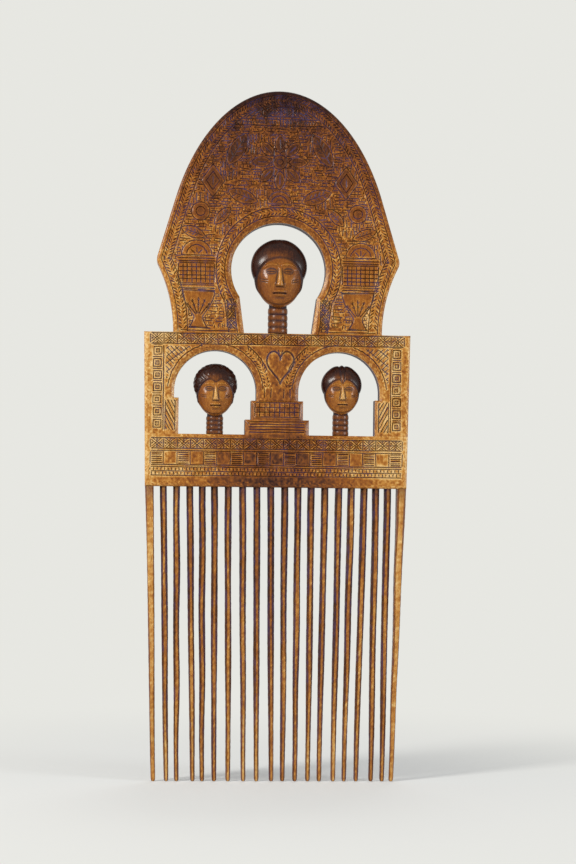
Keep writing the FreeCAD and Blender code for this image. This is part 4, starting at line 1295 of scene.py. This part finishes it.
def reach_of(ways, centre, middle, radii):
    """Distance from a point to an ellipsoid along each direction."""
    away = (centre - middle) / radii
    step = ways / radii
    a = (step ** 2).sum(1)
    b = step @ away
    c = away @ away - 1
    return (-b + np.sqrt(np.maximum(b * b - a * c, 0))) / a


def sphere_points(level):
    ball = bmesh.new()
    bmesh.ops.create_icosphere(ball, subdivisions=level, radius=1.0)
    points = np.array([v.co for v in ball.verts])
    faces = [[v.index for v in f.verts] for f in ball.faces]
    ball.free()
    return points / norms(points)[:, None], faces


BALL, BALL_FACES = sphere_points(7)
FULL_HEIGHT = 34.4  # height of the head that the depths of the features are given for
FACE_EGG = np.array([0.415, 0.45, 0.46])
FACE_UP = 0.46
HAIR_EGG = np.array([0.5, 0.5, 0.4])
HAIR_UP = 0.6
NECK_Y = -5.0
HEAD_SMOOTH = 60.0

# Places on a face: across from 0 at its middle to 1 at its side, up from 0 at the chin to 1 at the crown.
EYE_ACROSS, EYE_UP, EYE_SLIT = 0.3, 0.505, 0.502
BROW_UP = 0.585
NOSE_TOP, NOSE_FOOT = 0.58, 0.292
MOUTH_UP = 0.192


def face_relief(u, v):
    """Height of the features over the egg of the face, and how dark the creases between them are painted,
    as shade.
    """
    side = np.abs(u)
    brow_bow = np.sin(np.clip(side / 0.55, 0, 1) * math.pi)
    brow_line = BROW_UP + 0.022 * brow_bow - 0.03 * smooth(0.4, 0.62, side)
    brow = bell(v - brow_line, 0.021) * smooth(0.03, 0.12, side) * fall(0.5, 0.64, side)
    socket = -1.15 * bell(side - EYE_ACROSS, 0.19) * bell(v - 0.512, 0.05)
    eye_u, eye_v = (side - EYE_ACROSS) / 0.17, (v - EYE_UP) / 0.03
    eye_out = np.abs(eye_u)
    lid = 1.15 * lens(eye_u, eye_v)
    slit_line = v - EYE_SLIT + 0.006 * eye_u ** 2
    slit = -0.6 * bell(slit_line, 0.0065) * fall(0.75, 1.0, eye_out)
    drop = np.clip((NOSE_TOP - v) / (NOSE_TOP - NOSE_FOOT), 0, 1)
    nose_half = 0.055 + 0.075 * drop ** 1.6
    nose_rise = (0.4 + 1.55 * drop ** 1.15) * smooth(0.278, 0.3, v) * fall(0.55, 0.6, v)
    nose = nose_rise * np.clip(1 - (side / nose_half) ** 2.2, 0, 1) ** 0.8
    wing = 0.75 * bell(side - 0.125, 0.045) * bell(v - 0.318, 0.024)
    upper = lens(u / 0.25, (v - 0.214) / 0.026)
    lower = 1.05 * lens(u / 0.21, (v - 0.17) / 0.028)
    mouth = -0.75 * bell(v - MOUTH_UP, 0.0065) * fall(0.2, 0.26, side)
    chin = 0.5 * bell(u, 0.26) * bell(v - 0.075, 0.05)
    cheek = 0.45 * bell(side - 0.45, 0.17) * bell(v - 0.36, 0.09)
    height = np.maximum(brow + socket + lid + slit, nose + np.minimum(brow + socket, 0) * 0.3)
    height = height + wing + np.maximum(upper, lower) + mouth + chin + cheek
    almond = lens(eye_u)
    lid_ends = fall(0.95, 1.15, eye_out)
    nose_side = bell(side - nose_half - 0.02, 0.028) * smooth(0.29, 0.31, v) * fall(0.5, 0.56, v)
    crease_shade = (bell(slit_line, 0.009) * fall(0.8, 1.0, eye_out)
              + bell(v - MOUTH_UP, 0.013) * fall(0.2, 0.27, side)
              + bell(v - 0.508 - 0.036 * almond, 0.012) * lid_ends
              + 0.85 * bell(v - 0.498 + 0.03 * almond, 0.01) * lid_ends
              + 0.8 * bell(v - 0.284, 0.014) * fall(0.13, 0.18, side)
              + 0.9 * nose_side
              + 0.5 * bell(v - 0.128, 0.014) * fall(0.12, 0.2, side))
    return height, np.clip(crease_shade, 0, 1)


def cheek_marks(u, v):
    """Two short level cuts on each cheek."""
    along = (np.abs(u) - 0.54) / 0.13
    rise = v - 0.012 * along
    return (bell(rise - 0.387, 0.007) + bell(rise - 0.355, 0.007)) * lens(along)


def hairline(style, u, v):
    """Above zero where hair covers the front of the head."""
    side = np.abs(u)
    arch = (u / 0.78) ** 2 + ((v - 0.37) / 0.33) ** 2 - 1
    if style == "cap":
        return arch
    if style == "crop":
        return np.maximum(arch, (v - 0.68 + 0.05 * bell(side, 0.16) - 0.03 * side) * 4)
    return np.maximum(arch, (v - 0.67 - 0.05 * bell(side - 0.3, 0.2) + 0.06 * bell(side, 0.1)) * 4)


def hair_lift(style):
    """How far the hair stands out, as a smooth cap, short waves or two lobes, and its parting."""
    across, up = BALL[:, 0], BALL[:, 2]
    turn = np.arctan2(across, -BALL[:, 1])
    high = np.arcsin(np.clip(up, -1, 1))
    no_parting = np.zeros(len(BALL))
    if style == "cap":
        return 0.12 * np.sin(5 * turn + 1.3) * np.sin(6 * high), no_parting
    if style == "crop":
        waves = np.sin(turn * 13 + 2.2 * np.sin(high * 9)) * np.sin(high * 17)
        return 0.22 * waves * fall(1.2, 1.5, high), no_parting
    lobe = bell(np.abs(across) - 0.3, 0.2) * smooth(0.25, 0.6, up)
    ridge = bell(across, 0.05) * smooth(0.35, 0.6, up)
    parting = bell(np.abs(across) - 0.11, 0.035) * smooth(0.3, 0.6, up)
    return 0.5 * (lobe + ridge - parting), parting


def ringed_neck(x, foot, ringed, length, width, sides=48):
    """Points of a neck of three soft rings, drawn in between them, with their tones and cuts."""
    stations = np.linspace(0, length, 90)
    around = np.linspace(0, 2 * math.pi, sides, endpoint=False)
    rings = stations / ringed
    beat = np.abs(np.sin(math.pi * 4 * np.clip(rings, 0, 1))) ** 0.35
    radius = width / 2 * np.where(rings <= 1, 0.9 + 0.1 * beat, 0.9)
    points = [(x + r * math.sin(t), NECK_Y - r * math.cos(t), foot + s)
              for s, r in zip(stations, radius) for t in around]
    # Each ring is painted lighter on its swell and dark in the hollows between, as highlight and shade.
    tone = np.repeat(0.24 + 0.14 * beat, sides)
    cut = np.repeat(np.minimum(1.0, (1 - beat) * 1.3), sides)
    return np.array(points), tube_faces(len(BALL), len(stations), sides), tone, cut


def head(name, x, foot, neck_length, width, depth, height, neck_width, style, pale):
    """A bust: a ball drawn out to the egg of the face and the cap of the hair, on its neck."""
    chin = foot + neck_length
    middle_y = -(0.4 + depth / 2)
    scale = height / FULL_HEIGHT
    centre = np.array([x, middle_y, chin + 0.5 * height])
    span = np.array([width, depth, height])
    face_middle = np.array([x, middle_y - 0.05 * depth, chin + FACE_UP * height])
    hair_middle = np.array([x, middle_y, chin + HAIR_UP * height])
    face_reach = reach_of(BALL, centre, face_middle, span * FACE_EGG)
    hair_reach = reach_of(BALL, centre, hair_middle, span * HAIR_EGG)
    spots = centre + BALL * face_reach[:, None]
    u = (spots[:, 0] - x) / (0.5 * width)
    v = (spots[:, 2] - chin) / height
    q = (spots[:, 1] - middle_y) / (0.5 * depth)
    front = fall(-0.34, -0.2, q)
    edge = hairline(style, u, v)
    hair = np.maximum(smooth(-0.035, 0.035, edge), 1 - front) * smooth(0.16, 0.3, v)
    full = np.maximum(hair_reach, face_reach + 0.8 * scale)
    spots = centre + BALL * (face_reach + (full - face_reach) * hair)[:, None]
    features, crease_shade = face_relief(u, v)
    bare = front * (1 - hair)
    marks = cheek_marks(u, v) * bare
    spots[:, 1] += 0.3 * marks - features * scale * bare
    lift, parting = hair_lift(style)
    spots += BALL * ((lift - lift.max()) * hair * scale)[:, None]

    worn = 0.16 * bell(u, 0.3) * bell(v - 0.4, 0.2)
    # The hair is painted lighter low on its front and a little to the left, as light, and dark over the
    # crown, as shade.
    lit_hair_tone = 0.4 * bell(u + 0.1, 0.42) * fall(0.68, 0.83, v)
    # The face is painted darker towards its sides, as shade.
    skin_tone = 0.43 + pale + worn - 0.16 * smooth(0.4, 0.8, np.abs(u))
    # Raised features are painted lighter and sunk ones darker, as light and shade.
    tone = np.where(hair > 0.5, lit_hair_tone, skin_tone) + 0.13 * np.clip(features, -0.5, 1) * bare
    # Creases and the edge of the hair are painted dark, as shade; the cheek marks and the parting dark for
    # the dirt and the shade in them.
    cut = 0.9 * (crease_shade * bare + marks) + 0.6 * (bell(edge, 0.05) * front + parting * hair)
    neck_top = neck_length + 0.3 * height
    neck, neck_faces, neck_tone, neck_cut = ringed_neck(x, foot, neck_length, neck_top, neck_width)
    make_piece(name + "_figure", np.vstack([spots, neck]), BALL_FACES + neck_faces,
               np.concatenate([tone, neck_tone]), np.concatenate([np.clip(cut, 0, 1), neck_cut]),
               name, "head_wood", HEAD_SMOOTH)


head("centre_head", x=0.0, foot=CREST_FOOT, neck_length=12.8, width=28.4, depth=18.0, height=34.4,
     neck_width=10.0, style="cap", pale=0.02)
head("left_head", x=-31.0, foot=SILL, neck_length=9.0, width=22.2, depth=15.0, height=26.4,
     neck_width=8.6, style="crop", pale=0.13)
head("right_head", x=32.2, foot=SILL, neck_length=10.6, width=21.2, depth=15.0, height=24.8,
     neck_width=8.2, style="lobes", pale=0.13)


# Stage: a plain pale floor that runs out into a pale surround.
SURROUND = (0.80, 0.80, 0.76, 1)
PAPER = (0.86, 0.87, 0.86, 1)
SKY = (0.92, 0.95, 1.0, 1)
FLOOR_RADIUS = 3.0
FLOOR_GAP = 0.0002


def make_floor():
    mesh = bpy.data.meshes.new("floor")
    disc = bmesh.new()
    bmesh.ops.create_circle(disc, cap_ends=True, segments=96, radius=FLOOR_RADIUS)
    disc.to_mesh(mesh)
    disc.free()
    floor = new_object("floor", mesh)
    floor.location = (0, 0, cad_box[0].z - FLOOR_GAP)
    material = bpy.data.materials.new("floor_paper")
    nodes = Nodes(material)
    where = nodes.add("TexCoord").outputs["Object"]
    length = nodes.add("VectorMath", {0: where}, operation="LENGTH").outputs["Value"]
    fade = nodes.add("MapRange", {"Value": length, "From Min": -0.1, "From Max": 0.4},
                     interpolation_type="SMOOTHSTEP").outputs["Result"]
    paper = nodes.add("BsdfPrincipled", {"Base Color": PAPER, "Roughness": 0.9, "Specular IOR Level": 0.1})
    glow = nodes.add("Emission", {"Color": SURROUND})
    share = nodes.maths("MULTIPLY", fade, nodes.seen())
    blend = nodes.add("MixShader", {"Fac": share, 1: paper.outputs["BSDF"], 2: glow.outputs["Emission"]})
    nodes.add("OutputMaterial", {"Surface": blend.outputs["Shader"]})
    mesh.materials.append(material)


def make_world():
    world = bpy.data.worlds.new("studio")
    bpy.context.scene.world = world
    nodes = Nodes(world)
    light = nodes.add("Background", {"Color": SKY, "Strength": 0.25}).outputs["Background"]
    pale = nodes.add("Background", {"Color": SURROUND, "Strength": 1.0}).outputs["Background"]
    blend = nodes.add("MixShader", {"Fac": nodes.seen(), 1: light, 2: pale})
    nodes.add("OutputWorld", {"Surface": blend.outputs["Shader"]})


def soft_lamp(name, place, aim, size, power, colour=(1, 1, 1)):
    lamp = bpy.data.lights.new(name, "AREA")
    lamp.shape = "DISK"
    lamp.size = size
    lamp.energy = power
    lamp.color = colour
    holder = new_object(name, lamp)
    holder.location = place
    holder.rotation_euler = (Vector(aim) - Vector(place)).to_track_quat("-Z", "Y").to_euler()


VIEW_FROM = Vector((-0.0728, -1.02, -0.0246))
VIEW_AHEAD = Vector((0.0772, 0.9963, 0.0387))
VIEW_RIGHT = Vector((0.9969, -0.0777, 0.0112))
SENSOR = 36.0
FOCAL_PIXELS = 2032
FRAME_HEIGHT = 864


def make_camera():
    """The viewpoint of the picture: a long lens, a little left of the comb and below its middle."""
    forward = VIEW_AHEAD.normalized()
    right = (VIEW_RIGHT - forward * VIEW_RIGHT.dot(forward)).normalized()
    up = right.cross(forward)
    camera = bpy.data.cameras.new("camera")
    camera.sensor_width = SENSOR
    camera.lens = SENSOR * FOCAL_PIXELS / FRAME_HEIGHT
    camera.clip_start = 0.01
    holder = new_object("camera", camera)
    turn = Matrix((right, up, -forward)).transposed().to_4x4()
    holder.matrix_world = Matrix.Translation(VIEW_FROM) @ turn
    bpy.context.scene.camera = holder


make_floor()
make_world()
soft_lamp("key", (-0.95, -0.75, 0.5), (0, 0, 0.04), size=0.3, power=15.5, colour=(1.0, 0.97, 0.92))
soft_lamp("fill", (0.95, -0.55, 0.1), (0, 0, 0.02), size=0.4, power=6.5, colour=(0.95, 0.97, 1.0))
soft_lamp("top", (0.15, 0.6, 1.2), (0, 0, 0.02), size=0.6, power=3.5)
make_camera()
bpy.context.scene.view_settings.view_transform = "Standard"
